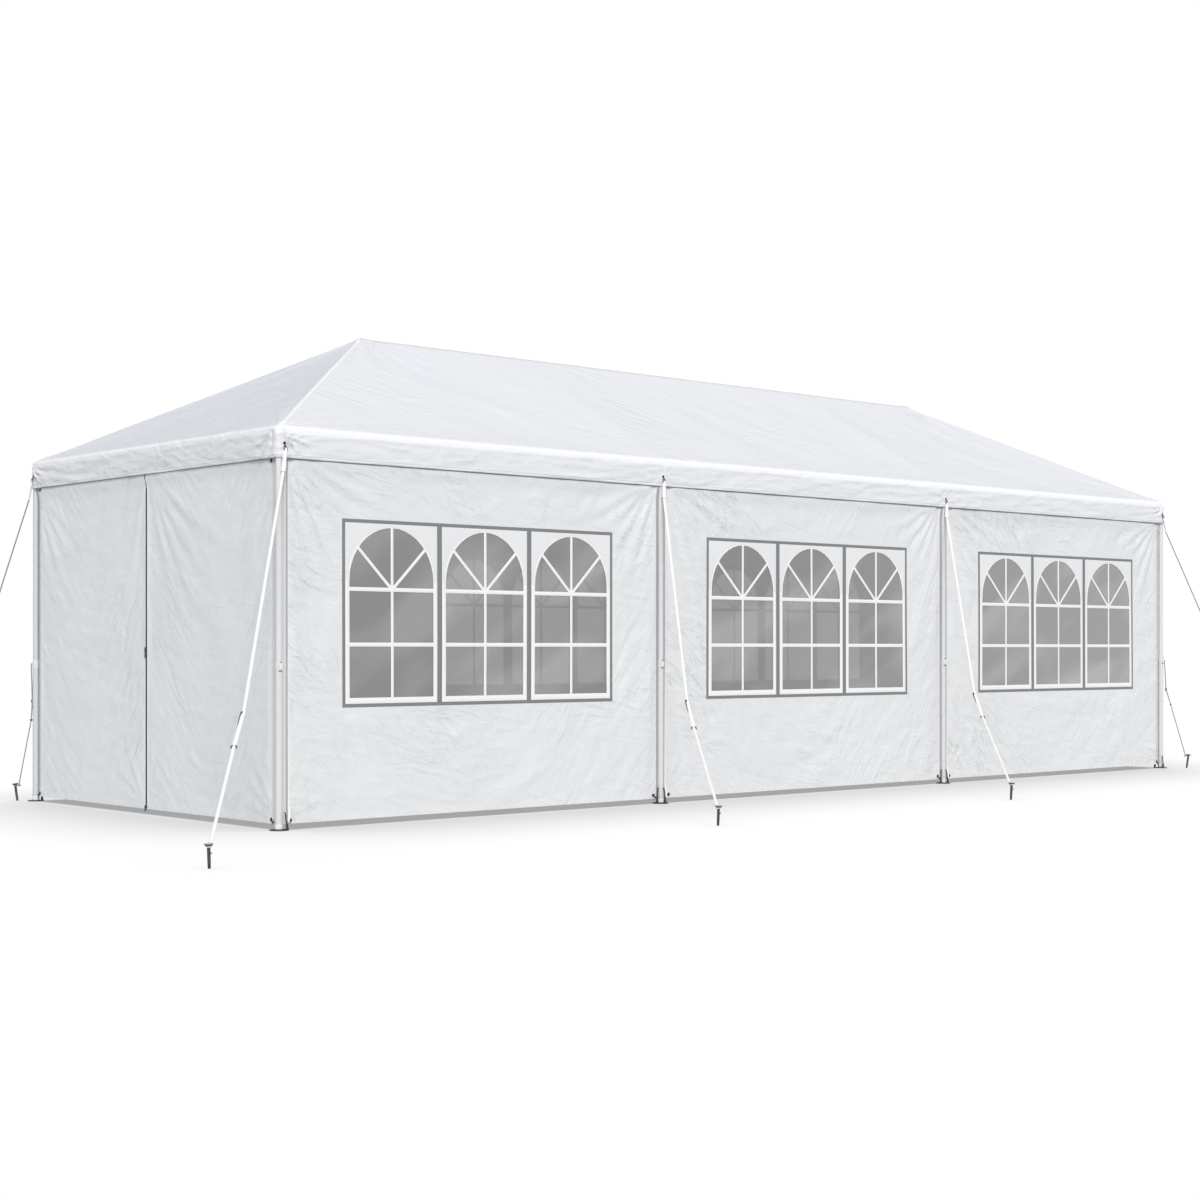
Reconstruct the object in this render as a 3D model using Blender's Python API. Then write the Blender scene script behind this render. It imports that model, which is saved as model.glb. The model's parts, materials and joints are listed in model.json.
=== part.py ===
"""Marquee party tent: three bays of steel tube under a hipped fabric canopy.

The length runs along X, the width along Y, and Z is up. The origin is on the ground
under the middle of the tent. The near end, with the zip door, is at -X, and the
front long side is at -Y. All sizes are in metres.
"""
import bmesh
import bpy
from math import atan2, cos, pi, radians, sin
from mathutils import Matrix, Vector

# Driving dimensions
BAY = 3.0
BAYS = 3
WIDTH = 3.0
RAIL_Z = 2.262
RIDGE_Z = 3.106
RIDGE_INSET = 1.617
VALANCE_Z = 2.12
GAP = 0.0003

# Steel tubes and their fittings
TUBE_R = 0.019
LOWER_LEG_R = 0.021
RAFTER_R = 0.017
FITTING_R = 0.022
HEAD_R = 0.0216
FITTING_LENGTH = 0.075
FITTING_BOTTOM = RAIL_Z - 0.072
STUB_LENGTH = 0.085
HUB_LENGTH = 0.07
TUBE_SIDES = 16

# Leg, from the foot plate up
PLATE_R = 0.055
PLATE_THICKNESS = 0.005
SOCKET_R = 0.026
SOCKET_TOP = 0.030
COLLAR_R = 0.0235
COLLAR_BOTTOM = 0.905
COLLAR_TOP = 0.955
PEG_R = 0.005
PEG_HEAD_R = 0.008
PEG_HEIGHT = 0.105
PEG_PLACES = ((0.034, 0.026), (-0.026, 0.034))

# Fabric and film
SKIN_R = 0.0235
FABRIC = 0.003
FILM = 0.002
CORNER_STEPS = 3
RIDGE_HALF_WIDTH = 0.002
WALL_BOTTOM = 0.035
WALL_TOP = RAIL_Z - FITTING_R - GAP
WALL_SIDE_CLEAR = 0.0255
WINDOW_WIDTH = 2.13
WINDOW_BOTTOM = 0.69
WINDOW_TOP = 1.795

# Zip in the middle of each end wall
ZIP_WIDTH = 0.010
ZIP_THICKNESS = 0.004
SLIDER_WIDTH = 0.016
SLIDER_DEPTH = 0.009
SLIDER_SPANS = ((0.020, 0.058), (0.976, 1.045))

# Guy lines and stakes
ROPE_R = 0.0065
SLEEVE_R = 0.0095
TENSIONER_R = 0.012
HOOK_R = 0.004
TIP_R = 0.003
GROMMET_Z = 2.185
GROMMET_INSET = 0.017
HOOK_OUT = 0.010
SLEEVE_OUT = 0.016
SLEEVE_DROP = 0.03
SLEEVE_REACH = 0.035
SLEEVE_END_Z = 2.04
TAPER = 0.006
TENSIONER_TOP_Z = 0.74
TENSIONER_BOTTOM_Z = 0.55
ROPE_END_Z = 0.085
KNOT_REACH = 0.028
STAKE_R = 0.008
STAKE_HEAD_R = 0.021
STAKE_HEAD_THICKNESS = 0.006
STAKE_HEIGHT = 0.12
STAKE_LEAN = radians(8)
ROPE_SIDES = 8

HALF_LENGTH = BAY * BAYS / 2
HALF_WIDTH = WIDTH / 2
RIDGE_HALF = HALF_LENGTH - RIDGE_INSET
RISE = RIDGE_Z - RAIL_Z
NORMAL_TILT = pi / 2 - atan2(RISE, HALF_WIDTH)
OUTER_R = SKIN_R + FABRIC
LEG_XS = [-HALF_LENGTH + BAY * i for i in range(BAYS + 1)]

# For each leg with a guy line: the stake's offset from the leg, and the share of the
# line's reach at which its tensioner starts
GUYS = {
    "front_1": (-1.335, -1.469, 0.59),
    "front_2": (-0.92, -1.45, 0.47),
    "front_3": (-0.993, -1.37, 0.47),
    "front_4": (0.80, -0.80, 0.54),
    "back_1": (-0.62, 0.62, 0.54),
    "back_2": (0.993, 1.37, 0.47),
    "back_3": (0.92, 1.45, 0.47),
    "back_4": (1.335, 1.469, 0.59),
}
TENSIONER_SHARE = 0.12
# Short stays from a leg's collar to a stake beside its foot
STAYS = {"front_4": (0.156, -0.156), "back_1": (-0.09, 0.09)}
STAY_R = 0.005
STAY_KNEE_OUT = 0.045
STAY_UPPER_OUT = 0.036
STAY_UPPER_Z = 0.68

COLOURS = {
    "canopy_fabric": ((0.90, 0.90, 0.93), 0.55, 0.0),
    "wall_fabric": ((0.86, 0.87, 0.88), 0.6, 0.0),
    "window_film": ((0.55, 0.56, 0.58), 0.2, 0.0),
    "leg_steel": ((0.80, 0.81, 0.82), 0.35, 0.7),
    "frame_steel": ((0.82, 0.83, 0.84), 0.4, 0.6),
    "rope": ((0.92, 0.92, 0.91), 0.8, 0.0),
    "stake_steel": ((0.16, 0.15, 0.14), 0.45, 0.8),
    "zip": ((0.22, 0.23, 0.25), 0.5, 0.0),
}


def clear_scene():
    for item in list(bpy.data.objects):
        bpy.data.objects.remove(item, do_unlink=True)


def make_material(name, slot):
    colour, roughness, metallic = COLOURS[slot]
    material = bpy.data.materials.new(name)
    material.use_nodes = True
    shader = material.node_tree.nodes["Principled BSDF"]
    shader.inputs["Base Color"].default_value = (*colour, 1.0)
    shader.inputs["Roughness"].default_value = roughness
    shader.inputs["Metallic"].default_value = metallic
    return material


def add_object(name, bm, slot, smooth_angle=40):
    """Turn a bmesh into a named object with a material of its own."""
    bmesh.ops.recalc_face_normals(bm, faces=bm.faces)
    mesh = bpy.data.meshes.new(name)
    bm.to_mesh(mesh)
    bm.free()
    mesh.shade_smooth()
    mesh.set_sharp_from_angle(angle=radians(smooth_angle))
    item = bpy.data.objects.new(name, mesh)
    item.data.materials.append(make_material(name, slot))
    bpy.context.scene.collection.objects.link(item)
    return item


def add_boolean(item, bm, operation, number):
    """Join to an object, or cut from it, a solid that stays as a hidden guide."""
    guide = add_object(f"{item.name}_guide_{number}", bm, "frame_steel")
    guide.hide_render = True
    guide.display_type = "WIRE"
    modifier = item.modifiers.new(operation.title(), "BOOLEAN")
    modifier.operation = operation
    modifier.solver = "EXACT"
    modifier.object = guide


def fuse(name, solids, slot, cutters=()):
    """Make one object from overlapping solids, less the cutters."""
    item = add_object(name, solids[0], slot)
    number = 0
    for solid in solids[1:]:
        number += 1
        add_boolean(item, solid, "UNION", number)
    for cutter in cutters:
        number += 1
        add_boolean(item, cutter, "DIFFERENCE", number)
    return item


def bridge_rings(bm, rings, close=True):
    """Skin a row of point rings of equal length with quads, with a face on each end."""
    rows = [[bm.verts.new(point) for point in ring] for ring in rings]
    count = len(rows[0])
    for low, high in zip(rows, rows[1:]):
        for i in range(count):
            j = (i + 1) % count
            bm.faces.new((low[i], low[j], high[j], high[i]))
    if close:
        bm.faces.new(list(reversed(rows[0])))
        bm.faces.new(rows[-1])
    return rows


def sweep(points, radii, sides):
    """A round bar through the points, with a radius at each of them."""
    points = [Vector(point) for point in points]
    rings = []
    side = (points[1] - points[0]).orthogonal()
    for i, point in enumerate(points):
        before = points[max(i - 1, 0)]
        after = points[min(i + 1, len(points) - 1)]
        along = (after - before).normalized()
        side = (side - side.dot(along) * along).normalized()
        up = side.cross(along)
        ring = []
        for k in range(sides):
            angle = 2 * pi * k / sides
            ring.append(point + radii[i] * (cos(angle) * side + sin(angle) * up))
        rings.append(ring)
    bm = bmesh.new()
    bridge_rings(bm, rings)
    return bm


def bar(start, end, radius, sides=TUBE_SIDES):
    return sweep((start, end), (radius, radius), sides)


def lathe(profile, sides, centre=(0, 0)):
    """Turn a profile of (radius, height) about a vertical axis."""
    rings = []
    for radius, height in profile:
        ring = []
        for k in range(sides):
            angle = 2 * pi * k / sides
            ring.append((centre[0] + radius * cos(angle), centre[1] + radius * sin(angle), height))
        rings.append(ring)
    bm = bmesh.new()
    bridge_rings(bm, rings)
    return bm


def block(low, high):
    """A box between two corners."""
    bm = bmesh.new()
    bmesh.ops.create_cube(bm, size=1.0)
    size = Vector(high) - Vector(low)
    middle = (Vector(high) + Vector(low)) / 2
    bmesh.ops.transform(bm, matrix=Matrix.Translation(middle) @ Matrix.Diagonal((*size, 1)), verts=bm.verts)
    return bm


def rounded_rectangle(half_x, half_y, radius, height):
    """Points round a level rectangle whose corner arcs are centred on its corners."""
    points = []
    quarter = pi / 2
    for number, (sx, sy) in enumerate(((1, 1), (-1, 1), (-1, -1), (1, -1))):
        for step in range(CORNER_STEPS + 1):
            angle = quarter * number + quarter * step / CORNER_STEPS
            points.append((sx * half_x + radius * cos(angle), sy * half_y + radius * sin(angle), height))
    return points


def canopy_skin(radius):
    """Rings from the valance's edge up to the ridge, at one distance from the tubes."""
    eave = (HALF_LENGTH, HALF_WIDTH, RAIL_Z)
    ridge = (RIDGE_HALF, RIDGE_HALF_WIDTH, RIDGE_Z)
    rings = [rounded_rectangle(HALF_LENGTH, HALF_WIDTH, radius, VALANCE_Z)]
    stations = ((eave, 0), (eave, NORMAL_TILT / 2), (eave, NORMAL_TILT), (ridge, NORMAL_TILT))
    for (half_x, half_y, height), tilt in (*stations, (ridge, radians(80))):
        rings.append(rounded_rectangle(half_x, half_y, radius * cos(tilt), height + radius * sin(tilt)))
    return rings


def make_canopy():
    """Hipped roof and valance as one thin shell, open below."""
    bm = bmesh.new()
    outer = bridge_rings(bm, canopy_skin(OUTER_R), close=False)
    inner = bridge_rings(bm, canopy_skin(SKIN_R), close=False)
    bm.faces.new(outer[-1])
    bm.faces.new(inner[-1])
    count = len(outer[0])
    for i in range(count):
        j = (i + 1) % count
        bm.faces.new((outer[0][i], inner[0][i], inner[0][j], outer[0][j]))
    add_object("canopy", bm, "canopy_fabric")


def side_wall(name, x, y):
    """One bay of side wall with its window opening; x is the bay's middle."""
    outer_x = BAY / 2 - WALL_SIDE_CLEAR
    hole_x = WINDOW_WIDTH / 2
    loops = []
    for face_y in (y - FABRIC / 2, y + FABRIC / 2):
        for half, bottom, top in ((outer_x, WALL_BOTTOM, WALL_TOP), (hole_x, WINDOW_BOTTOM, WINDOW_TOP)):
            corners = ((-half, bottom), (half, bottom), (half, top), (-half, top))
            loops.append([(x + dx, face_y, z) for dx, z in corners])
    bm = bmesh.new()
    near_outer, near_hole, far_outer, far_hole = [[bm.verts.new(p) for p in loop] for loop in loops]
    for i in range(4):
        j = (i + 1) % 4
        bm.faces.new((near_outer[i], near_outer[j], near_hole[j], near_hole[i]))
        bm.faces.new((far_outer[j], far_outer[i], far_hole[i], far_hole[j]))
        bm.faces.new((near_outer[j], near_outer[i], far_outer[i], far_outer[j]))
        bm.faces.new((near_hole[i], near_hole[j], far_hole[j], far_hole[i]))
    add_object(name, bm, "wall_fabric")


def make_side_walls():
    for side, y in (("front", -HALF_WIDTH), ("back", HALF_WIDTH)):
        for number in range(BAYS):
            x = LEG_XS[number] + BAY / 2
            side_wall(f"{side}_wall_{number + 1}", x, y)
            half = WINDOW_WIDTH / 2 - GAP
            low = (x - half, y - FILM / 2, WINDOW_BOTTOM + GAP)
            high = (x + half, y + FILM / 2, WINDOW_TOP - GAP)
            add_object(f"{side}_window_{number + 1}", block(low, high), "window_film")


def make_end_wall(end, sign):
    """Two flaps that meet at a zip in the middle."""
    x = sign * HALF_LENGTH
    edge = HALF_WIDTH - WALL_SIDE_CLEAR
    seam = ZIP_WIDTH / 2 + GAP
    for side, y_sign in (("front", -1), ("back", 1)):
        ys = sorted((y_sign * edge, y_sign * seam))
        low = (x - FABRIC / 2, ys[0], WALL_BOTTOM)
        high = (x + FABRIC / 2, ys[1], WALL_TOP)
        add_object(f"{end}_door_flap_{side}", block(low, high), "wall_fabric")
    low = (x - ZIP_THICKNESS / 2, -ZIP_WIDTH / 2, WALL_BOTTOM)
    high = (x + ZIP_THICKNESS / 2, ZIP_WIDTH / 2, WALL_TOP)
    solids = [block(low, high)]
    for bottom, top in SLIDER_SPANS:
        xs = sorted((x + sign * (FABRIC / 2 + GAP), x + sign * (FABRIC / 2 + SLIDER_DEPTH)))
        solids.append(block((xs[0], -SLIDER_WIDTH / 2, bottom), (xs[1], SLIDER_WIDTH / 2, top)))
    fuse(f"{end}_zip", solids, "zip")


def make_leg(name, x, y, x_out, y_out):
    """Telescoping leg on a round foot plate, with two ground pegs through the plate."""
    profile = (
        (PLATE_R, 0.0), (PLATE_R, PLATE_THICKNESS), (SOCKET_R, PLATE_THICKNESS + 0.002),
        (SOCKET_R, SOCKET_TOP), (LOWER_LEG_R, SOCKET_TOP + 0.002),
        (LOWER_LEG_R, COLLAR_BOTTOM - 0.002), (COLLAR_R, COLLAR_BOTTOM), (COLLAR_R, COLLAR_TOP),
        (TUBE_R, COLLAR_TOP + 0.004), (TUBE_R, FITTING_BOTTOM - GAP),
    )
    if abs(x) < HALF_LENGTH:
        top = RAIL_Z - FITTING_R - GAP
        profile += ((HEAD_R, FITTING_BOTTOM - GAP + 0.001), (HEAD_R, top))
    solids = [lathe(profile, TUBE_SIDES, (x, y))]
    peg = (
        (PEG_R, PLATE_THICKNESS / 2), (PEG_R, PEG_HEIGHT - 0.006),
        (PEG_HEAD_R, PEG_HEIGHT - 0.005), (PEG_HEAD_R, PEG_HEIGHT),
    )
    for dx, dy in PEG_PLACES:
        solids.append(lathe(peg, ROPE_SIDES, (x + x_out * dx, y + y_out * dy)))
    fuse(name, solids, "leg_steel")


def make_legs():
    for side, y_sign in (("front", -1), ("back", 1)):
        for number, x in enumerate(LEG_XS):
            x_sign = -1 if x < 0 else 1
            make_leg(f"leg_{side}_{number + 1}", x, y_sign * HALF_WIDTH, x_sign, y_sign)


def make_eave_rails():
    """Long rails with a sleeve over each middle leg."""
    reach = HALF_LENGTH - FITTING_LENGTH - GAP
    for side, y_sign in (("front", -1), ("back", 1)):
        y = y_sign * HALF_WIDTH
        solids = [bar((-reach, y, RAIL_Z), (reach, y, RAIL_Z), TUBE_R)]
        for x in LEG_XS[1:-1]:
            solids.append(bar((x - FITTING_LENGTH, y, RAIL_Z), (x + FITTING_LENGTH, y, RAIL_Z), FITTING_R))
        fuse(f"eave_rail_{side}", solids, "frame_steel")


def make_end_rails():
    """End rails with a corner fitting on each end."""
    for end, x_sign in (("near", -1), ("far", 1)):
        x = x_sign * HALF_LENGTH
        solids = [bar((x, -HALF_WIDTH, RAIL_Z), (x, HALF_WIDTH, RAIL_Z), TUBE_R)]
        for y_sign in (-1, 1):
            corner = Vector((x, y_sign * HALF_WIDTH, RAIL_Z))
            ridge_end = Vector((x_sign * RIDGE_HALF, 0, RIDGE_Z))
            hip = (ridge_end - corner).normalized() * STUB_LENGTH
            solids.append(bar((x, corner.y, FITTING_BOTTOM), corner, FITTING_R - 0.0001))
            solids.append(bar(corner, corner - Vector((x_sign * FITTING_LENGTH, 0, 0)), FITTING_R - 0.0002))
            solids.append(bar(corner, corner - Vector((0, y_sign * FITTING_LENGTH, 0)), FITTING_R - 0.0003))
            solids.append(bar(corner, corner + hip, FITTING_R - 0.0004))
        fuse(f"end_rail_{end}", solids, "frame_steel")


def rafter(eave_point, ridge_point):
    """A roof tube from the stub of an eave fitting up to the ridge."""
    along = (ridge_point - eave_point).normalized()
    return bar(eave_point + along * (STUB_LENGTH + GAP), ridge_point, RAFTER_R)


def ridge_bore(start_x, end_x):
    return bar((start_x, 0, RIDGE_Z), (end_x, 0, RIDGE_Z), TUBE_R + GAP)


def make_roof_frame():
    """Ridge pole, the hip rafters of each end, and a pair of rafters with eave sleeves at each middle leg."""
    pole_half = RIDGE_HALF - 0.003
    add_object("ridge_pole", bar((-pole_half, 0, RIDGE_Z), (pole_half, 0, RIDGE_Z), TUBE_R), "frame_steel")
    for end, x_sign in (("near", -1), ("far", 1)):
        ridge_end = Vector((x_sign * RIDGE_HALF, 0, RIDGE_Z))
        hub_end = ridge_end - Vector((x_sign * HUB_LENGTH, 0, 0))
        solids = [bar(ridge_end, hub_end, FITTING_R)]
        for y_sign in (-1, 1):
            corner = Vector((x_sign * HALF_LENGTH, y_sign * HALF_WIDTH, RAIL_Z))
            solids.append(rafter(corner, ridge_end))
        bore = ridge_bore(x_sign * (pole_half + GAP), x_sign * (RIDGE_HALF - 2 * HUB_LENGTH))
        fuse(f"hip_rafters_{end}", solids, "frame_steel", [bore])
    for number, x in enumerate(LEG_XS[1:-1]):
        solids = [bar((x - HUB_LENGTH / 2, 0, RIDGE_Z), (x + HUB_LENGTH / 2, 0, RIDGE_Z), FITTING_R)]
        for y_sign in (-1, 1):
            eave_point, ridge_point = Vector((x, y_sign * HALF_WIDTH, RAIL_Z)), Vector((x, 0, RIDGE_Z))
            along = (ridge_point - eave_point).normalized()
            solids.append(bar(eave_point + along * (FITTING_R + GAP), eave_point + along * STUB_LENGTH, HEAD_R))
            solids.append(bar(eave_point + along * STUB_LENGTH / 2, ridge_point, RAFTER_R))
        bore = ridge_bore(x - HUB_LENGTH, x + HUB_LENGTH)
        fuse(f"rafter_pair_{number + 1}", solids, "frame_steel", [bore])


def make_stake(name, x, y, outward):
    """A round-headed stake that leans away from the tent, cut off at ground level."""
    profile = (
        (STAKE_R, 0.0), (STAKE_R, STAKE_HEIGHT - STAKE_HEAD_THICKNESS - 0.003),
        (STAKE_HEAD_R, STAKE_HEIGHT - STAKE_HEAD_THICKNESS), (STAKE_HEAD_R, STAKE_HEIGHT),
    )
    bm = lathe(profile, 12, (x, y))
    for vert in bm.verts:
        vert.co += outward * vert.co.z * sin(STAKE_LEAN)
    add_object(name, bm, "stake_steel")


def stake_hitch(stake, outward):
    """The knot beside a leaning stake's shaft, and the point where its loop meets the shaft."""
    shaft = stake + Vector((0, 0, ROPE_END_Z)) + outward * ROPE_END_Z * sin(STAKE_LEAN)
    return shaft - outward * KNOT_REACH, shaft - outward * (STAKE_R + 3 * GAP)


def grommet_place(side, leg_x, leg_y):
    """Where a guy line leaves the valance, and the face's outward direction."""
    y_sign = -1 if side == "front" else 1
    if (side, leg_x) == ("back", LEG_XS[0]):
        point = Vector((leg_x - OUTER_R - GAP, leg_y - GROMMET_INSET, GROMMET_Z))
        return point, Vector((-1, 0, 0))
    inset = 0
    if abs(leg_x) == HALF_LENGTH:
        inset = GROMMET_INSET if leg_x < 0 else -GROMMET_INSET
    point = Vector((leg_x + inset, leg_y + y_sign * (OUTER_R + GAP), GROMMET_Z))
    return point, Vector((0, y_sign, 0))


def make_guy_line(place, leg_x, leg_y):
    """Sleeve and rope from the valance, through a tensioner, to a stake."""
    dx, dy, share = GUYS[place]
    stake = Vector((leg_x + dx, leg_y + dy, 0))
    start, face_out = grommet_place(place.split("_")[0], leg_x, leg_y)
    flat = Vector((stake.x - start.x, stake.y - start.y, 0))
    outward = flat.normalized()

    def at(reach, height):
        return Vector((start.x, start.y, 0)) + outward * reach + Vector((0, 0, height))

    lower = at(flat.length * (share + TENSIONER_SHARE), TENSIONER_BOTTOM_Z)
    knot, end = stake_hitch(stake, outward)
    sleeve_end = at(SLEEVE_REACH, SLEEVE_END_Z)
    upper = at(flat.length * share, TENSIONER_TOP_Z)
    taper = (lower - upper).normalized() * TAPER
    sleeve_taper = (upper - sleeve_end).normalized() * TAPER
    points = [start, start + face_out * HOOK_OUT, start + face_out * SLEEVE_OUT - Vector((0, 0, SLEEVE_DROP))]
    radii = [HOOK_R, HOOK_R, ROPE_R]
    points += [sleeve_end, sleeve_end + sleeve_taper, upper - taper, upper]
    radii += [SLEEVE_R, ROPE_R, ROPE_R, TENSIONER_R]
    points += [lower, lower + taper, knot, end]
    radii += [TENSIONER_R, ROPE_R, ROPE_R, TIP_R]
    add_object(f"guy_line_{place}", sweep(points, radii, ROPE_SIDES), "rope")
    make_stake(f"stake_{place}", stake.x, stake.y, outward)


def make_stay(place, leg_x, leg_y):
    """A short line from a leg's collar to a stake beside the foot."""
    dx, dy = STAYS[place]
    stake = Vector((leg_x + dx, leg_y + dy, 0))
    outward = Vector((dx, dy, 0)).normalized()
    leg = Vector((leg_x, leg_y, 0))

    def at(reach, height):
        return leg + outward * reach + Vector((0, 0, height))

    hook_z = (COLLAR_BOTTOM + COLLAR_TOP) / 2
    hook_out = COLLAR_R + HOOK_OUT
    knee = at(STAY_KNEE_OUT, TENSIONER_BOTTOM_Z)
    knot, end = stake_hitch(stake, outward)
    points = [at(COLLAR_R + GAP, hook_z), at(hook_out, hook_z), at(hook_out, hook_z - SLEEVE_DROP)]
    points += [at(STAY_UPPER_OUT, STAY_UPPER_Z), knee, knot, end]
    radii = [HOOK_R, HOOK_R, HOOK_R, STAY_R, STAY_R, HOOK_R, TIP_R]
    add_object(f"leg_stay_{place}", sweep(points, radii, ROPE_SIDES), "rope")
    make_stake(f"stay_stake_{place}", stake.x, stake.y, outward)


def make_lines():
    for place in GUYS:
        side, number = place.split("_")
        leg_x = LEG_XS[int(number) - 1]
        leg_y = -HALF_WIDTH if side == "front" else HALF_WIDTH
        make_guy_line(place, leg_x, leg_y)
        if place in STAYS:
            make_stay(place, leg_x, leg_y)


def main():
    clear_scene()
    make_canopy()
    make_side_walls()
    make_end_wall("near", -1)
    make_end_wall("far", 1)
    make_legs()
    make_eave_rails()
    make_end_rails()
    make_roof_frame()
    make_lines()


main()
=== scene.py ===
"""Looks of the marquee party tent: its fabric, window film, tubes, lines and light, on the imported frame."""
import json
import math

import bpy
import numpy as np
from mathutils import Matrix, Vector
from mathutils.noise import ridged_multi_fractal


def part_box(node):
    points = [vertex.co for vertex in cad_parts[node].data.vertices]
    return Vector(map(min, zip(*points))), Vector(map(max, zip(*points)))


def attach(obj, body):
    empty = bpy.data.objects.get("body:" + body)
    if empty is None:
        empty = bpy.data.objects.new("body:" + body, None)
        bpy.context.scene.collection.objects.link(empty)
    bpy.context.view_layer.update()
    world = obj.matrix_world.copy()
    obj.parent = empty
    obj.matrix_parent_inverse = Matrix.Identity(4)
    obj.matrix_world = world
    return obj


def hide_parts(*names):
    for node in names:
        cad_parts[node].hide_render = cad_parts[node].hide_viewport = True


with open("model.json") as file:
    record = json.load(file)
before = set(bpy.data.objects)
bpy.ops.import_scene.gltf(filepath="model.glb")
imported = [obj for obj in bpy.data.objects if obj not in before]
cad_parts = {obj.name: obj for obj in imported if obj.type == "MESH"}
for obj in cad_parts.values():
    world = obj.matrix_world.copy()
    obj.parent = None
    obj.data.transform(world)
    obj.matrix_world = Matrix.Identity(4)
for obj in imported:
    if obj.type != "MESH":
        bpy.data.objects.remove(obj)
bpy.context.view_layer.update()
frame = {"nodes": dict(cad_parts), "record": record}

# The photograph's camera, solved on the feet, the eave and the ridge ends
PHOTO_SIDE = 1200
FOCAL_PIXELS = 2014.2
HORIZON_PIXEL = 648.7
SENSOR = 36.0
CAMERA_PLACE = (-10.802, -11.238, 1.034)
CAMERA_TURN = math.radians(-41.97)

# Main sizes of the tent, in metres. Legs stand on the row's foot mounts.
FEET = {mount["name"][5:]: Vector(mount["pos_m"]) for mount in frame["record"]["mounts"]}
BAYS = 3
HALF_LENGTH = FEET["front_4"].x
HALF_WIDTH = -FEET["front_1"].y
RAIL_Z = 2.262
RIDGE_Z = (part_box("ridge_pole")[0].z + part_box("ridge_pole")[1].z) / 2
RIDGE_INSET = 1.617
PEAK_X = HALF_LENGTH - RIDGE_INSET
VALANCE_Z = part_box("canopy")[0].z
WALL_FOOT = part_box("front_wall_1")[0].z
SIDES = {"front": -1.0, "back": 1.0}
ENDS = {"near": -1.0, "far": 1.0}
CORNERS = ((-1.0, -1.0), (-1.0, 1.0), (1.0, -1.0), (1.0, 1.0))
X_WAY = np.array((1.0, 0.0, 0.0))
UP = np.array((0.0, 0.0, 1.0))
DOWN = -UP

# Canopy: its bends, its hem and the steps of its grid
SKIN_R = 0.025
HIP_R = 0.012
HIP_SPREAD = 0.008
CORNER_R = 0.030
EAVE_LIFT = 0.016
EAVE_Z = RAIL_Z + EAVE_LIFT
EAVE_REACH = 0.09
ROOF_SLOPE = 1.72
FOLD_REACH = 0.26
CANOPY_GRID = 0.042
EAVE_GRID = 0.010
FOLD_GRID = 0.006
CORNER_STEPS = 8
BEND_STEPS = 7
VALANCE_STEPS = 15
WELD_REACH = 0.0004
HEM_HEIGHT = 0.018
HEM_STEP = 0.0018
STITCH_WIDTH = 0.0035
# Round the hem, from its seam: steps off the sheet, and the drop below the seam
HEM_PROFILE = (
    (1.0, STITCH_WIDTH), (1.3, HEM_HEIGHT / 2.0), (1.0, HEM_HEIGHT - 0.002), (0.0, HEM_HEIGHT),
    (-1.0, HEM_HEIGHT - 0.002), (-1.0, 0.0),
)

# Side walls and door flaps. A turn is where a sheet turns in behind a leg and where it ends, as distances
# off the leg's axis, and its depth there. The shade strips beside the legs are grey strips of painted shade
# for the gap and the recess there, each a material with its span from and to, as distances off the axis.
WALL_GRID = 0.0165
EDGE_GRID = 0.005
CORNER_TURN = (0.076, 0.0222, 0.010)
MIDDLE_TURN = (0.060, 0.0222, 0.0)
CORNER_SHADE_STRIPS = (("leg_gap_shade", (0.050, 0.060)), ("leg_recess_shade", (0.0, 0.050)))
MIDDLE_SHADE_STRIPS = (("leg_gap_shade", (0.0, 0.040)),)
FLAP_SHADE_STRIPS = (("leg_gap_shade", (0.0, 0.036)), ("leg_recess_shade", (0.036, 0.070)))
# Painted shadow of the valance: a grey strip at a sheet's top, shown below the hem and hidden above it
SHADOW_SHOWS = 0.007
SHADOW_HIDDEN = 0.008
WALL_TOP_SHADOW = (VALANCE_Z - SHADOW_SHOWS, VALANCE_Z + SHADOW_HIDDEN)
FLAP_TOP_SHADOW = (VALANCE_Z - SHADOW_SHOWS / 2.0, VALANCE_Z + SHADOW_HIDDEN)
LOOSE_START = 0.045
LOOSE_WIDTH = 0.06
GROMMET_OFF = 0.070
GROMMET_LOW = 0.058
GROMMET_HIGH = 2.108
# The tie at a lower eyelet, off the leg's foot: its knot, then its strands off the knot (inward, up, outward)
TIE_KNOT = (GROMMET_OFF - 0.016, GROMMET_LOW - 0.012, 0.006)
TIE_STRANDS = (
    ((0.004, -0.008, 0.0), (0.002, -0.018, 0.0)),
    ((-0.010, -0.003, 0.0), (-0.018, -0.001, 0.0)),
    ((0.008, 0.006, 0.0), (0.016, 0.012, -0.004)),
)

# Fans of folds where a sheet is held: how many, between which angles in degrees, how far they reach and how
# high they stand, then, where they differ from the usual, their curl, their half widths and how far out
# they begin
LONG_PEAK_FAN = (9, (-40, 75), 1.2, 0.010)
LONG_CORNER_FAN = (6, (45, 88), 1.3, 0.007)
END_PEAK_FAN = (5, (2, 40), 1.3, 0.007)
END_CORNER_FAN = (6, (40, 88), 1.3, 0.007)
CORNER_GROMMET_FAN = (8, (5, 140), 0.30, 0.015, 0.6, (0.003, 0.036))
MIDDLE_GROMMET_FAN = (8, (5, 140), 0.30, 0.007, 0.6, (0.003, 0.036))
VALANCE_CORNER_FAN = (6, (12, 82), 0.42, 0.011, 1.2, (0.005, 0.045))
WALL_LOW_TOP_FAN = (9, (12, 74), 1.25, 0.022, 0.05, (0.010, 0.045))
WALL_HIGH_TOP_FAN = (9, (12, 74), 1.25, 0.014, 0.05, (0.010, 0.045))
WALL_FOOT_FAN = (7, (15, 80), 0.60, 0.005, 0.08, (0.010, 0.045))
FLAP_LEG_FAN = (8, (4, 50), 1.4, 0.0055, 0.16, (0.012, 0.042), 0.6)
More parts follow.
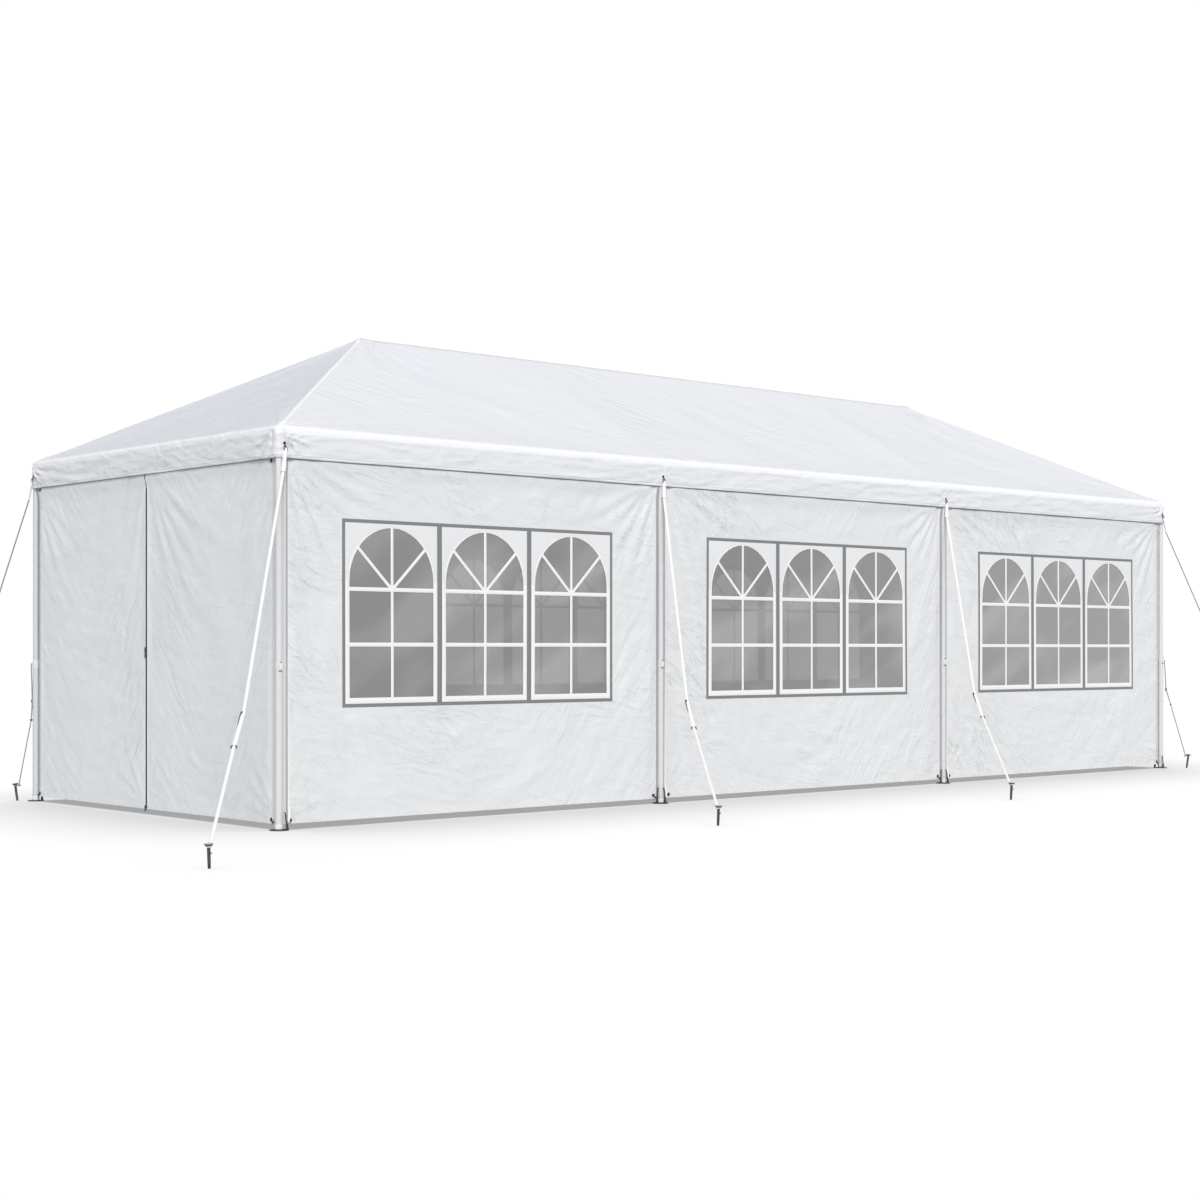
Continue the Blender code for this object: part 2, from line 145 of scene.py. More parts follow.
FLAP_ZIP_FAN = (8, (4, 50), 2.3, 0.0055, 0.16, (0.012, 0.042), 0.6)
FLAP_FOOT_FAN = (6, (16, 82), 0.75, 0.0045, 0.05, (0.010, 0.040))

# Short creases: how many, their lengths, half widths and heights, and how much their directions spread
ROOF_CREASES = (700, (0.15, 0.8), (0.022, 0.04), (0.0015, 0.006))
VALANCE_CREASES = (420, (0.25, 0.9), (0.016, 0.03), (0.002, 0.007), 0.35)
WALL_CREASES = (
    (300, (0.10, 0.40), (0.014, 0.022), (0.0015, 0.0045), 1.6),
    (40, (0.5, 1.3), (0.05, 0.08), (0.004, 0.010), 0.9),
)
FLAP_CREASES = (120, (0.10, 0.5), (0.014, 0.022), (0.0008, 0.0030), 1.4)

# Crisp ridges that fall to a sheet's middle: size and height
WALL_SWAGS = ((0.26, 0.0019), (0.12, 0.0008))
FLAP_SWAGS = ((0.34, 0.0014), (0.12, 0.0006))

# Tucks at the canopy's corners: start and end off the corner (inward along the length, along the width, up),
# rise and half width. The first ones are on the roof, the others on the valance beside the grommet.
CORNER_TUCKS = (
    ((0.045, 0.050, 0.032), (0.130, 0.040, 0.026), 0.011, 0.009),
    ((0.060, 0.085, 0.053), (0.150, 0.072, 0.045), -0.007, 0.011),
    ((0.020, 0.022, 0.016), (0.070, 0.006, 0.008), 0.006, 0.010),
    ((-0.012, -0.020, -0.022), (-0.025, 0.034, -0.034), -0.006, 0.007),
    ((-0.025, 0.034, -0.034), (-0.025, 0.038, -0.100), -0.009, 0.007),
    ((-0.025, 0.030, -0.106), (0.006, -0.025, -0.104), -0.007, 0.007),
    ((0.004, -0.025, -0.030), (0.060, -0.025, -0.108), 0.009, 0.007),
    ((0.020, -0.025, -0.028), (0.082, -0.025, -0.092), -0.008, 0.007),
)

# Zips: pitch of the teeth, heights of the sliders, and each slider's body, plate, ring and pull as a share
# of its length above its middle and a distance outward
ZIP_PITCH = 0.004
ZIP_SLIDERS = ((0.020, 0.058), (0.976, 1.045))
SLIDER_PARTS = ((0.22, 0.0), (0.22, 0.005), (-0.08, 0.003), (-0.31, 0.003))

# Windows: three arched lights in a sewn grey border
WINDOW_GRID = 0.022
LIGHTS = 3
SEAM = 0.021
SEPARATOR = 0.037
JAMB = 0.029
SILL = 0.034
HEAD = 0.024
BAR = 0.024
MULLION = 0.019
TRANSOM_1 = 1.384
TRANSOM_2 = 1.058
ARCH_STRAIGHT = 0.05
ARCH_STEPS = 20
PANEL_CROWN = 0.0022
TAPE_CROWN = 0.0008

# Legs. Profiles list (height, radius).
UPPER_R = 0.019
LOWER_R = 0.021
HEAD_R = 0.0216
SOCKET_R = 0.024
SOCKET_TOP = 0.034
PLATE_R = 0.055
COLLAR_BOTTOM = 0.905
COLLAR_TOP = 0.955
COLLAR_R = 0.0220
LEG_TOP = 2.19
HEAD_PROFILE = ((LEG_TOP - 0.001, UPPER_R), (LEG_TOP + 0.002, HEAD_R), (2.2395, HEAD_R))
COLLAR_PROFILE = (
    (COLLAR_BOTTOM, LOWER_R), (COLLAR_BOTTOM + 0.004, COLLAR_R), (COLLAR_TOP - 0.004, COLLAR_R),
    (COLLAR_TOP, UPPER_R),
)
SOCKET_PROFILE = ((0.004, SOCKET_R), (SOCKET_TOP - 0.003, SOCKET_R), (SOCKET_TOP, LOWER_R))
PLATE_PROFILE = (
    (0.0, PLATE_R - 0.0015), (0.0015, PLATE_R), (0.004, PLATE_R), (0.005, PLATE_R - 0.002),
    (0.006, SOCKET_R + 0.004), (0.009, SOCKET_R),
)
BUTTON_PROFILE = ((0.0, 0.0036), (0.004, 0.0036), (0.005, 0.0022))
# Lever, button and pin of the collar, off the foot (along the length, outward, up)
COLLAR_FITTINGS = (
    (0.0, COLLAR_R + 0.003, COLLAR_TOP - 0.022), (0.0, COLLAR_R * 0.97, COLLAR_TOP + 0.002),
    (-0.004, COLLAR_R + 0.001, COLLAR_BOTTOM + 0.002),
)
# Ground pegs: places on the plate (along the length, outward), and a peg's path (towards the tube, up)
CORNER_PEGS = ((-0.024, -0.046), (-0.030, 0.044))
MIDDLE_PEGS = ((-0.046, 0.014), (0.006, 0.042))
PEG_FOOT = ((0.0, 0.0), (0.003, 0.030), (0.006, 0.050))
PEG_TOP = ((0.006, 0.046), (0.011, 0.080), (0.014, 0.099), (0.022, 0.105))
# Straps: distance off the leg above and below, distance outward, and height of the top
CORNER_STRAP = (0.066, 0.062, 0.004, 0.74)
MIDDLE_STRAP = (0.030, 0.034, 0.012, COLLAR_BOTTOM)

# Guy lines: for each leg, the stake's offset from it and the share of the reach where the tensioner starts
GUYS = {
    "front_1": (-1.335, -1.469, 0.59), "front_2": (-0.92, -1.45, 0.47), "front_3": (-0.993, -1.37, 0.47),
    "front_4": (0.80, -0.80, 0.54), "back_1": (-0.62, 0.62, 0.54), "back_2": (0.993, 1.37, 0.47),
    "back_3": (0.92, 1.45, 0.47), "back_4": (1.335, 1.469, 0.59),
}
TENSIONER_SHARE = 0.12
TENSIONER_TOP_Z = 0.71
TENSIONER_BOTTOM_Z = 0.55
GROMMET_Z = 2.203
MIDDLE_GROMMET_Z = 2.182
GROMMET_INSET = 0.021
SLEEVE_REACH = 0.035
SLEEVE_END_Z = 2.04
ROPE_R = 0.0085
ROPE_END_Z = 0.106
KNOT_REACH = 0.024
# An arm of the hook off its top (level, up, outward)
HOOK_ARM = ((0.0020, 0.0, 0.0), (0.006, -0.010, 0.004), (0.0105, -0.027, 0.007))
# The tensioner's lever and clasp, off its ends (level, along)
LEVER = ((0.006, -0.030), (-0.004, -0.006), (-0.0125, 0.020), (-0.0125 * 0.95, 0.115))
CLASP = ((-0.014, 0.020), (-0.0125, 0.004), (0.0, -0.004), (0.0125, 0.004), (0.014, 0.020))

# Short stays: the stake's offset from the leg, and how far off the leg the stay bends, above and below
STAYS = {"front_4": (0.156, -0.156), "back_1": (-0.09, 0.09)}
STAY_BENDS = {"front_4": (0.045, 0.085), "back_1": (0.024, 0.032)}
STAY_BEND_Z = 0.68
STAY_R = 0.0058

# Stakes: lean, profiles of the head and its crown as (drop below the top, radius), and the spur (level, up)
STAKE_LEAN = math.radians(8.0)
STAKE_HEAD = (
    (0.012, 0.0084), (0.0085, 0.0170), (0.0065, 0.0203), (0.0030, 0.0208), (0.0012, 0.0196), (0.0012, 0.0150),
)
STAKE_CROWN = ((0.0020, 0.0150), (0.0008, 0.0146), (0.0012, 0.0080), (0.0012, 0.0010))
STAKE_SPUR = ((0.0, 0.0), (0.012, 0.0), (0.014, 0.006))

# Fine creases in a sheet's material: how they are turned, how many there are to a metre, how high they
# stand, and the side of the sheet that they keep to, if any. On walls and flaps they fall from both sides
# towards the middle. A row is the axis along which sheets follow one another, and the reach of one of them.
STROKE_STRETCH = 4.5
WALL_STROKES = (((0, 45, 0), 18.0, 0.0076, -1), ((0, -56, 0), 16.0, 0.0028, 1), ((0, 12, 0), 14.0, 0.0034, 0))
FLAP_STROKES = (((45, 0, 0), 14.0, 0.0022, 1), ((-47, 0, 0), 15.0, 0.0046, -1), ((8, 0, 0), 11.0, 0.0013, 0))
ROOF_STROKES = (((0, 14.5, -26), 11.0, 0.0036, 0), ((0, -8, 14), 16.0, 0.0020, 0))
END_STROKES = (((-8, 0, 15), 9.0, 0.0068, 0), ((10, 0, -19), 14.0, 0.0044, 0))
WALL_ROW = ("X", -1.5, 1.5)
FLAP_ROW = ("Y", 0.0, 1.5)
# Where a side's creases start and reach full height, off the middle as shares of the sheet; the edges of
# their patches on a noise from 0 to 1, and their share of height between the patches
SHARE_START = 0.10
SHARE_END = 0.15
PATCH_EDGES = (0.40, 0.66)
PATCH_FLOOR = 0.25

# Colours
CANOPY_COLOUR = (0.795, 0.805, 0.845)
# Painted shade: the end slopes are the canopy's own fabric, made darker and bluer
END_SLOPE_SHADED_COLOUR = (0.722, 0.738, 0.797)
VALANCE_COLOUR = (0.78, 0.795, 0.83)
# Painted highlight: a lighter band on the canopy's bend over the eave tube, dimmer on the ends
EAVE_HIGHLIGHT_COLOUR = (0.92, 0.935, 0.96)
END_EAVE_HIGHLIGHT_COLOUR = (0.885, 0.90, 0.93)
EAVE_HIGHLIGHT_REACH = 0.06
WALL_COLOUR = (0.77, 0.78, 0.795)
FLAP_COLOUR = (0.79, 0.815, 0.84)
# Bright hems, also painted along the canopy's hips as a highlight
HEM_AND_HIGHLIGHT_COLOUR = (0.92, 0.925, 0.935)
FILM_COLOUR = (0.335, 0.335, 0.339)
FILM_ALPHA = 0.76

# Light and floor
SKY_LIGHT = 0.60
SKY_SEEN = 1.0
KEY_LIGHT = 1.90
KEY_HEADING = (0.46, 0.757, -0.54)
FLOOR_REACH = 90.0
FLOOR_BOUNCE = 0.62
# Painted shadow on the floor: grey beside the walls and darker under the tent
FLOOR_SHADE_REACH = 1.5
FLOOR_SHADE = 0.68
UNDER_TENT_SHADE = 0.38
SHADE_EDGE = 0.03

# Sides of a ring's section
RING_SIDES = 8


def unit(vector):
    """The vector at length 1."""
    vector = np.asarray(vector, float)
    return vector / np.linalg.norm(vector)


def ease(value):
    """Smooth step from 0 to 1."""
    value = np.clip(value, 0.0, 1.0)
    return value * value * (3.0 - 2.0 * value)


def spaced(stops, steps):
    """Even steps between stops, with every stop kept."""
    runs = []
    for first, last, step in zip(stops, stops[1:], steps):
        count = max(1, round(abs(last - first) / step))
        runs.append(np.linspace(first, last, count + 1)[:-1])
    return np.concatenate(runs + [[stops[-1]]])


def placed(origin, directions, offsets):
    """Points at offsets along some directions from an origin."""
    return origin + np.asarray(offsets, float) @ np.asarray(directions, float)


def is_corner(name):
    """Whether a leg stands at a corner of the tent."""
    return name[-1] in "14"


# Materials


def feed(tree, node, inputs):
    """Sets inputs of a node, each to a value or to the socket that feeds it."""
    for name, value in inputs.items():
        if isinstance(value, bpy.types.NodeSocket):
            tree.links.new(value, node.inputs[name])
        else:
            node.inputs[name].default_value = value
    return node


def add_node(tree, kind, inputs, **settings):
    """A new shader node with its settings and inputs."""
    node = tree.nodes.new(f"ShaderNode{kind}")
    for name, value in settings.items():
        setattr(node, name, value)
    return feed(tree, node, inputs)


def mapped(tree, value, start, end, low=0.0, high=1.0):
    """A value that runs from low to high while another one runs from start to end."""
    inputs = {"Value": value, "From Min": start, "From Max": end, "To Min": low, "To Max": high}
    return add_node(tree, "MapRange", inputs).outputs["Result"]


def product(tree, first, second):
    """Two values multiplied."""
    return add_node(tree, "Math", {0: first, 1: second}, operation="MULTIPLY").outputs[0]


def ramp(tree, value, stops):
    """Colours along a value, between stops of (position, colour)."""
    node = add_node(tree, "ValToRGB", {"Fac": value})
    elements = node.color_ramp.elements
    while len(elements) < len(stops):
        elements.new(0.5)
    for element, (position, colour) in zip(elements, stops):
        element.position = position
        element.color = (*colour, 1.0)
    return node.outputs["Color"]


def places(tree):
    """The place of each point in the row's own metres."""
    return add_node(tree, "TexCoord", {}).outputs["Object"]


def coordinates(tree):
    """The X, Y and Z of each point, apart."""
    return add_node(tree, "SeparateXYZ", {"Vector": places(tree)}).outputs


def shader(name, colour, roughness, metallic=0.0, specular=0.5, alpha=1.0):
    """A Principled material; returns it with its node tree and its shader node."""
    made = bpy.data.materials.new(name)
    made.use_nodes = True
    made.diffuse_color = (*colour, alpha)
    tree = made.node_tree
    principled = feed(tree, tree.nodes["Principled BSDF"], {
        "Base Color": (*colour, 1.0), "Roughness": roughness, "Metallic": metallic,
        "Specular IOR Level": specular, "Alpha": alpha,
    })
    return made, tree, principled


def noise(tree, scale, detail, stretch=(1.0, 1.0, 1.0), turn=(0.0, 0.0, 0.0), ridged=False):
    """A noise value drawn out along turned axes, soft or with crisp ridges."""
    inputs = {"Vector": places(tree), "Scale": stretch, "Rotation": [math.radians(angle) for angle in turn]}
    mapping = add_node(tree, "Mapping", inputs, vector_type="TEXTURE")
    inputs = {"Vector": mapping.outputs["Vector"], "Scale": scale, "Detail": detail}
    settings = {}
    if ridged:
        inputs |= {"Offset": 1.0, "Gain": 2.0, "Distortion": 0.5}
        settings = {"noise_type": "RIDGED_MULTIFRACTAL"}
    return add_node(tree, "TexNoise", inputs, **settings).outputs[0]


def tint(tree, principled, value, dark, light, low=0.35, high=0.65):
    """Colours the shader between two tones by a value."""
    feed(tree, principled, {"Base Color": ramp(tree, value, ((low, dark), (high, light)))})


def share_across(tree, row, side):
    """A share from 0 to 1 that grows towards one side of each sheet in a row of equal sheets."""
    axis, low, high = row
    middle, reach = (low + high) / 2.0, side * (high - low)
    across = add_node(tree, "Math", {0: coordinates(tree)[axis], 1: high, 2: low}, operation="WRAP")
    return mapped(tree, across.outputs[0], middle - SHARE_START * reach, middle + SHARE_END * reach)


def bump(tree, principled, value, strength, distance, patches=None, share=None):
    """Adds a bump to the shader, over one that it already has, in full only where patches is high."""
    inputs = {"Strength": strength, "Distance": distance, "Height": value}
    if patches:
        inputs["Strength"] = mapped(tree, patches, *PATCH_EDGES, strength * PATCH_FLOOR, strength)
    if share:
        inputs["Strength"] = product(tree, inputs["Strength"], share)
    if principled.inputs["Normal"].links:
        inputs["Normal"] = principled.inputs["Normal"].links[0].from_socket
    feed(tree, principled, {"Normal": add_node(tree, "Bump", inputs).outputs["Normal"]})


def scaled(colour, factor):
    """The colour made darker or lighter by a factor."""
    return tuple(min(1.0, part * factor) for part in colour)


def tarpaulin(name, colour, crinkle, strokes, long_way=0, row=WALL_ROW):
    """Coated polyethylene sheet: fine creases in patches, drawn out near one axis, with a dull gloss."""
    made, tree, principled = shader(name, colour, 0.48, specular=0.28)
    tint(tree, principled, noise(tree, 1.6, 3.0), scaled(colour, 0.985), scaled(colour, 1.01))
    stretch = [1.0, 1.0, 1.0]
    stretch[long_way] = STROKE_STRETCH
    for number, (turn, scale, height, side) in enumerate(strokes):
        patches = noise(tree, 1.4 + 0.37 * number, 2.0)
        share = share_across(tree, row, side) if side else None
        ridges = noise(tree, scale, 2.0, stretch, turn, True)
        bump(tree, principled, ridges, 1.0, height * crinkle, patches, share)
    bump(tree, principled, noise(tree, 420.0, 1.0), 0.06, 0.0006)
    return made


def add_eave_highlight(made, low_colour, highlight_colour, high_colour):
    """Colours a sheet by its height: below, on, and above the bend over the eave tube, with a painted
    highlight, a lighter band, on the bend.
    """
    tree = made.node_tree
    share = mapped(tree, coordinates(tree)["Z"], EAVE_Z - EAVE_HIGHLIGHT_REACH, EAVE_Z + EAVE_HIGHLIGHT_REACH)
    stops = ((0.30, low_colour), (0.40, highlight_colour), (0.70, highlight_colour), (0.80, high_colour))
    feed(tree, tree.nodes["Principled BSDF"], {"Base Color": ramp(tree, share, stops)})


def painted(name, colour, roughness=0.38):
    """White powder coat over steel, with faint scuffs."""
    made, tree, principled = shader(name, colour, roughness, specular=0.5)
    tint(tree, principled, noise(tree, 18.0, 4.0), scaled(colour, 0.98), scaled(colour, 1.01))
    bump(tree, principled, noise(tree, 260.0, 2.0), 0.08, 0.0006)
    return made


def bare_metal(name, colour, roughness, metallic=1.0):
    """Bare or plated metal with streaks along its height."""
    made, tree, principled = shader(name, colour, roughness, metallic)
    streaks = noise(tree, 60.0, 5.0, (1.0, 1.0, 6.0))
    tint(tree, principled, streaks, scaled(colour, 0.6), scaled(colour, 1.2), 0.3, 0.7)
    bump(tree, principled, streaks, 0.15, 0.001)
    return made


def woven(name, colour, scale=700.0, roughness=0.75):
    """Woven or braided tape and rope, with its threads as bump and as fine tone."""
    made, tree, principled = shader(name, colour, roughness, specular=0.25)
    threads = noise(tree, scale, 2.0)
    tint(tree, principled, threads, scaled(colour, 0.9), scaled(colour, 1.04))
    bump(tree, principled, threads, 0.3, 0.001)
    return made


def film(name):
    """Clear smoky window film with a soft gloss, faint lighter and darker slanted bands, and a painted sheen
    that lightens its colour where it is seen at a slant.
    """
    made, tree, principled = shader(name, FILM_COLOUR, 0.25, specular=1.0, alpha=FILM_ALPHA)
    bands = noise(tree, 2.6, 1.5, (2.6, 1.0, 1.0), (0.0, -30.0, 0.0))
    clear = ramp(tree, bands, ((0.48, scaled(FILM_COLOUR, 0.94)), (0.64, scaled(FILM_COLOUR, 1.24))))
    # Painted sheen: the film's colour grows lighter where it is seen at a slant
    slant = add_node(tree, "LayerWeight", {"Blend": 0.5})
    painted_sheen = mapped(tree, slant.outputs["Facing"], 0.30, 0.48, 1.0, 1.5)
    banded_with_sheen = add_node(tree, "VectorMath", {0: clear, "Scale": painted_sheen}, operation="SCALE")
    feed(tree, principled, {"Base Color": banded_with_sheen.outputs["Vector"]})
    bump(tree, principled, noise(tree, 5.0, 2.0), 0.12, 0.004)
    return made


def make_materials():
    """Every material by a plain name."""
    made = {
        "canopy": tarpaulin("canopy_sheet", CANOPY_COLOUR, 1.0, ROOF_STROKES),
        # Painted shade: a darker copy of the canopy's colour for the end slopes
        "canopy_end": tarpaulin("canopy_end_sheet", END_SLOPE_SHADED_COLOUR, 1.0, END_STROKES, 1),
        "wall": tarpaulin("wall_sheet", WALL_COLOUR, 1.0, WALL_STROKES),
        "flap": tarpaulin("door_flap_sheet", FLAP_COLOUR, 1.0, FLAP_STROKES, 1, FLAP_ROW),
        # The hem material is also painted on the canopy's hips as a highlight
        "hem": tarpaulin("hem_and_hip_highlight_sheet", HEM_AND_HIGHLIGHT_COLOUR, 0.05, WALL_STROKES),
        "panel": tarpaulin("window_panel", (0.80, 0.805, 0.815), 0.25, WALL_STROKES),
        "bars": tarpaulin("window_bars", (0.88, 0.885, 0.895), 0.05, WALL_STROKES),
        "film": film("window_film_clear"),
        "seam": woven("window_seam_tape", (0.235, 0.24, 0.245), 500.0, 0.6),
        # Painted shadow of the valance on the tops of walls and flaps
        "tape": woven("wall_top_painted_shadow", (0.46, 0.46, 0.465), 500.0, 0.6),
        # Painted shade: a dark grey strip for the gap beside a leg
        "leg_gap_shade": woven("wall_edge_painted_shade", (0.41, 0.41, 0.425), 500.0, 0.6),
        # Painted shade: a paler grey strip for the recess beside a leg
        "leg_recess_shade": woven("wall_edge_painted_soft_shade", (0.66, 0.665, 0.675), 500.0, 0.6),
        "stitches": woven("hem_stitches", (0.52, 0.525, 0.53), 500.0, 0.6),
        "zip": woven("zip_tape", (0.13, 0.135, 0.145), 900.0, 0.6),
        "teeth": bare_metal("zip_teeth", (0.10, 0.105, 0.11), 0.35),
        "tube": painted("tube_white", (0.74, 0.75, 0.76)),
        # Painted shade: the back legs' tubes are the same white coat, made darker
        "back_tube": painted("tube_white_painted_shade", (0.64, 0.65, 0.66)),
        "lower_tube": painted("lower_tube_white", (0.72, 0.725, 0.73), 0.34),
        "frame": painted("frame_white", (0.78, 0.785, 0.79)),
        "socket": painted("socket_white", (0.88, 0.885, 0.89), 0.3),
        "plate": bare_metal("plate_zinc", (0.16, 0.17, 0.18), 0.45),
        "dark": bare_metal("dark_steel", (0.085, 0.08, 0.075), 0.45, 0.8),
        "stake": bare_metal("stake_steel_dull", (0.15, 0.14, 0.13), 0.42, 0.9),
        "brass": bare_metal("hook_brass", (0.24, 0.205, 0.155), 0.4),
        "clip": painted("clip_plastic", (0.86, 0.87, 0.85), 0.4),
        "yellow": painted("clip_plastic_aged", (0.62, 0.60, 0.22), 0.4),
        # Painted shade: dark discs that fill the eyelets' holes
        "black": painted("eyelet_hole_painted_shade", (0.015, 0.015, 0.015), 0.5),
        "rope": woven("rope_white", (0.90, 0.90, 0.905), 600.0),
        # Grey rope, in part painted shade, for the stays and the guy lines at their legs
        "grey_rope": woven("rope_grey_and_painted_shade", (0.36, 0.36, 0.365), 600.0),
        "sleeve": woven("sleeve_white", (0.92, 0.92, 0.925), 900.0, 0.6),
    }
    # The canopy's materials carry the painted highlight on the bend over the eave tube
    add_eave_highlight(made["canopy"], VALANCE_COLOUR, EAVE_HIGHLIGHT_COLOUR, CANOPY_COLOUR)
    add_eave_highlight(made["canopy_end"], VALANCE_COLOUR, END_EAVE_HIGHLIGHT_COLOUR, END_SLOPE_SHADED_COLOUR)
    return made


# Pieces


class Piece:
    """Gathers the meshes of one piece, each with its own material, into one object."""

    def __init__(self, name):
        self.name = name
        self.points = []
        self.faces = []
        self.count = 0
        self.materials = []
        self.material_numbers = []

    def number(self, material):
        """The material's number on this piece."""
        if material not in self.materials:
            self.materials.append(material)
        return self.materials.index(material)

    def add(self, points, faces, material):
        """Adds a mesh: an array of points and a list of faces."""
        self.points.append(np.asarray(points, float).reshape(-1, 3))
        self.faces.extend([corner + self.count for corner in face] for face in faces)
        self.material_numbers.extend([self.number(material)] * len(faces))
        self.count += len(self.points[-1])

    def paint(self, chosen, material):
        """Gives another material to the chosen faces of the last mesh that was added."""
        number = self.number(material)
        first = len(self.material_numbers) - len(chosen)
        for place in np.flatnonzero(chosen):
            self.material_numbers[first + place] = number

    def make(self, replaced=(), sharp=40.0):
        """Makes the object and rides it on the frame."""
        mesh = bpy.data.meshes.new(self.name)
        mesh.from_pydata(np.concatenate(self.points).tolist(), [], self.faces)
        for material in self.materials:
            mesh.materials.append(MATERIALS[material])
        mesh.polygons.foreach_set("material_index", self.material_numbers)
        mesh.validate()
        mesh.shade_smooth()
        mesh.set_sharp_from_angle(angle=math.radians(sharp))
        made = bpy.data.objects.new(self.name, mesh)
        bpy.context.scene.collection.objects.link(made)
        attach(made, "root")
        if replaced:
            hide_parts(*replaced)
        return made


def grid_faces(rows, columns, keep=None, closed=False, flipped=False):
    """Quads of a grid of points, without the cells that keep leaves out."""
    across = np.arange(columns if closed else columns - 1)
    down = np.arange(rows - 1)[:, None]
    corner = down * columns + across
    right = down * columns + (across + 1) % columns
    quads = np.stack([corner, corner + columns, right + columns, right], axis=-1)
    quads = quads.reshape(-1, 4) if keep is None else quads[keep]
    return (quads[:, ::-1] if flipped else quads).tolist()


def grid_normals(points):
    """Unit normals of a grid of points whose rows are closed."""
    across = np.roll(points, -1, axis=1) - np.roll(points, 1, axis=1)
    normals = np.cross(np.gradient(points, axis=0), across)
    return normals / np.maximum(np.linalg.norm(normals, axis=-1, keepdims=True), 1e-9)


def capped(rings):
    """Points and faces of a closed solid: rings of points along it, with a cap on each end."""
    sides = len(rings[0])
    points = np.concatenate(rings)
    faces = grid_faces(len(rings), sides, closed=True, flipped=True)
    faces.append(list(range(sides)))
    faces.append(list(range(len(points) - sides, len(points)))[::-1])
    return points, faces


def round_angles(sides):
    """Even angles round a circle."""
    return np.arange(sides) * 2.0 * math.pi / sides


def tube(path, radii, sides=12, flatness=1.0, side=None):
    """A closed tube along a path of points, round or flattened. side is its wide way."""
    path = np.asarray(path, float)
    radii = np.broadcast_to(np.asarray(radii, float), len(path))
    steps = np.gradient(path, axis=0)
    heading = steps / np.linalg.norm(steps, axis=1, keepdims=True)
    if side is None:
        side = np.cross(heading[0], UP if abs(heading[0][2]) < 0.9 else (1.0, 0.0, 0.0))
    side = np.asarray(side, float)
    angles = round_angles(sides)
    rings = []
    for centre, direction, radius in zip(path, heading, radii):
        side = unit(side - direction * (side @ direction))
        other = np.cross(direction, side)
        ring = np.outer(radius * np.cos(angles), side) + np.outer(radius * np.sin(angles) * flatness, other)
        rings.append(centre + ring)
    return capped(rings)


def lathe(profile, base, axis=(0.0, 0.0, 1.0), sides=32):
    """A closed solid turned about an axis. The profile lists (distance along the axis, radius)."""
    axis = unit(axis)
    side = unit(np.cross(axis, (1.0, 0.0, 0.0) if abs(axis[0]) < 0.9 else (0.0, 1.0, 0.0)))
    other = np.cross(axis, side)
    angles = round_angles(sides)
    circle = np.outer(np.cos(angles), side) + np.outer(np.sin(angles), other)
    return capped([np.asarray(base) + axis * along + circle * radius for along, radius in profile])


def block(centre, size, directions=((1, 0, 0), (0, 1, 0), (0, 0, 1)), edge=0.15):
    """A block with chamfered long edges, along three directions."""
    half = np.asarray(size, float) / 2.0
    cut = min(half[0], half[1]) * edge * 2.0
    outline = []
    for x, y in ((1, 1), (-1, 1), (-1, -1), (1, -1)):
        first = (x * half[0], y * (half[1] - cut))
        second = (x * (half[0] - cut), y * half[1])
        outline.extend((first, second) if x * y > 0 else (second, first))
    a, b, c = (unit(direction) for direction in directions)
    rings = [(-half[2], 1.0 - edge), (-half[2] + cut, 1.0), (half[2] - cut, 1.0), (half[2], 1.0 - edge)]
    return capped([
        [np.asarray(centre) + a * x * spread + b * y * spread + c * along for x, y in outline]
        for along, spread in rings
    ])


def torus(centre, axis, radius, thickness, sides=20):
    """A ring about an axis."""
    axis = unit(axis)
    side = unit(np.cross(axis, UP))
    around = round_angles(sides)
    section = round_angles(RING_SIDES)
    out = np.outer(np.cos(around), side) + np.outer(np.sin(around), np.cross(axis, side))
    centres = np.asarray(centre) + out * radius
    points = centres[:, None, :] + thickness * (
        np.cos(section)[None, :, None] * out[:, None, :] + np.sin(section)[None, :, None] * axis
    )
    faces = []
    for i in range(sides):
        for j in range(RING_SIDES):
            here, following = i * RING_SIDES, (i + 1) % sides * RING_SIDES
            turned = (j + 1) % RING_SIDES
            faces.append([here + j, following + j, following + turned, here + turned])
    return points.reshape(-1, 3), faces


# Folds and creases, as heights above a smooth sheet


def waves(seed, count, wavelengths, height):
    """A gentle rolling height: a function of places, the same for every piece that shares the seed."""
    rng = np.random.default_rng(seed)
    parts = []
    for _ in range(count):
        direction = unit(rng.normal(size=3))
        length = rng.uniform(*wavelengths)
        parts.append((direction * 2.0 * math.pi / length, rng.uniform(0.0, 2.0 * math.pi), length))
    total = sum(part[2] for part in parts)

    def height_at(points):
        return sum(height * 2.0 * length / total * np.sin(points @ push + phase) for push, phase, length in parts)

    return height_at


def crumple(points, size, height, slant=40.0, stretch=1.8):
    """Crisp irregular ridges all over a sheet, drawn out along a slanted way."""
    turn = math.radians(slant)
    level, rise = points[:, 0] + points[:, 1], points[:, 2]
    along = (level * math.cos(turn) + rise * math.sin(turn)) / (size * stretch)
    across = (rise * math.cos(turn) - level * math.sin(turn)) / size
    values = np.array([
        ridged_multi_fractal((a, b, slant), 0.9, 2.1, 4, 1.0, 2.0) for a, b in zip(along, across)
    ])
    values = (values - values.mean()) / values.std()
    return height * np.clip(values, -2.0, 2.5)


def swag(points, across, size, height):
    """Crisp ridges that fall from both sides of a sheet towards its middle. across runs from -1 to 1."""
    low_side = ease((-across - 0.1) / 0.5)
    high_side = ease((across - 0.1) / 0.5)
    parts = ((-48.0, low_side), (52.0, high_side), (-6.0, 1.0 - low_side - high_side))
    return sum(crumple(points, size, height, slant) * share for slant, share in parts)


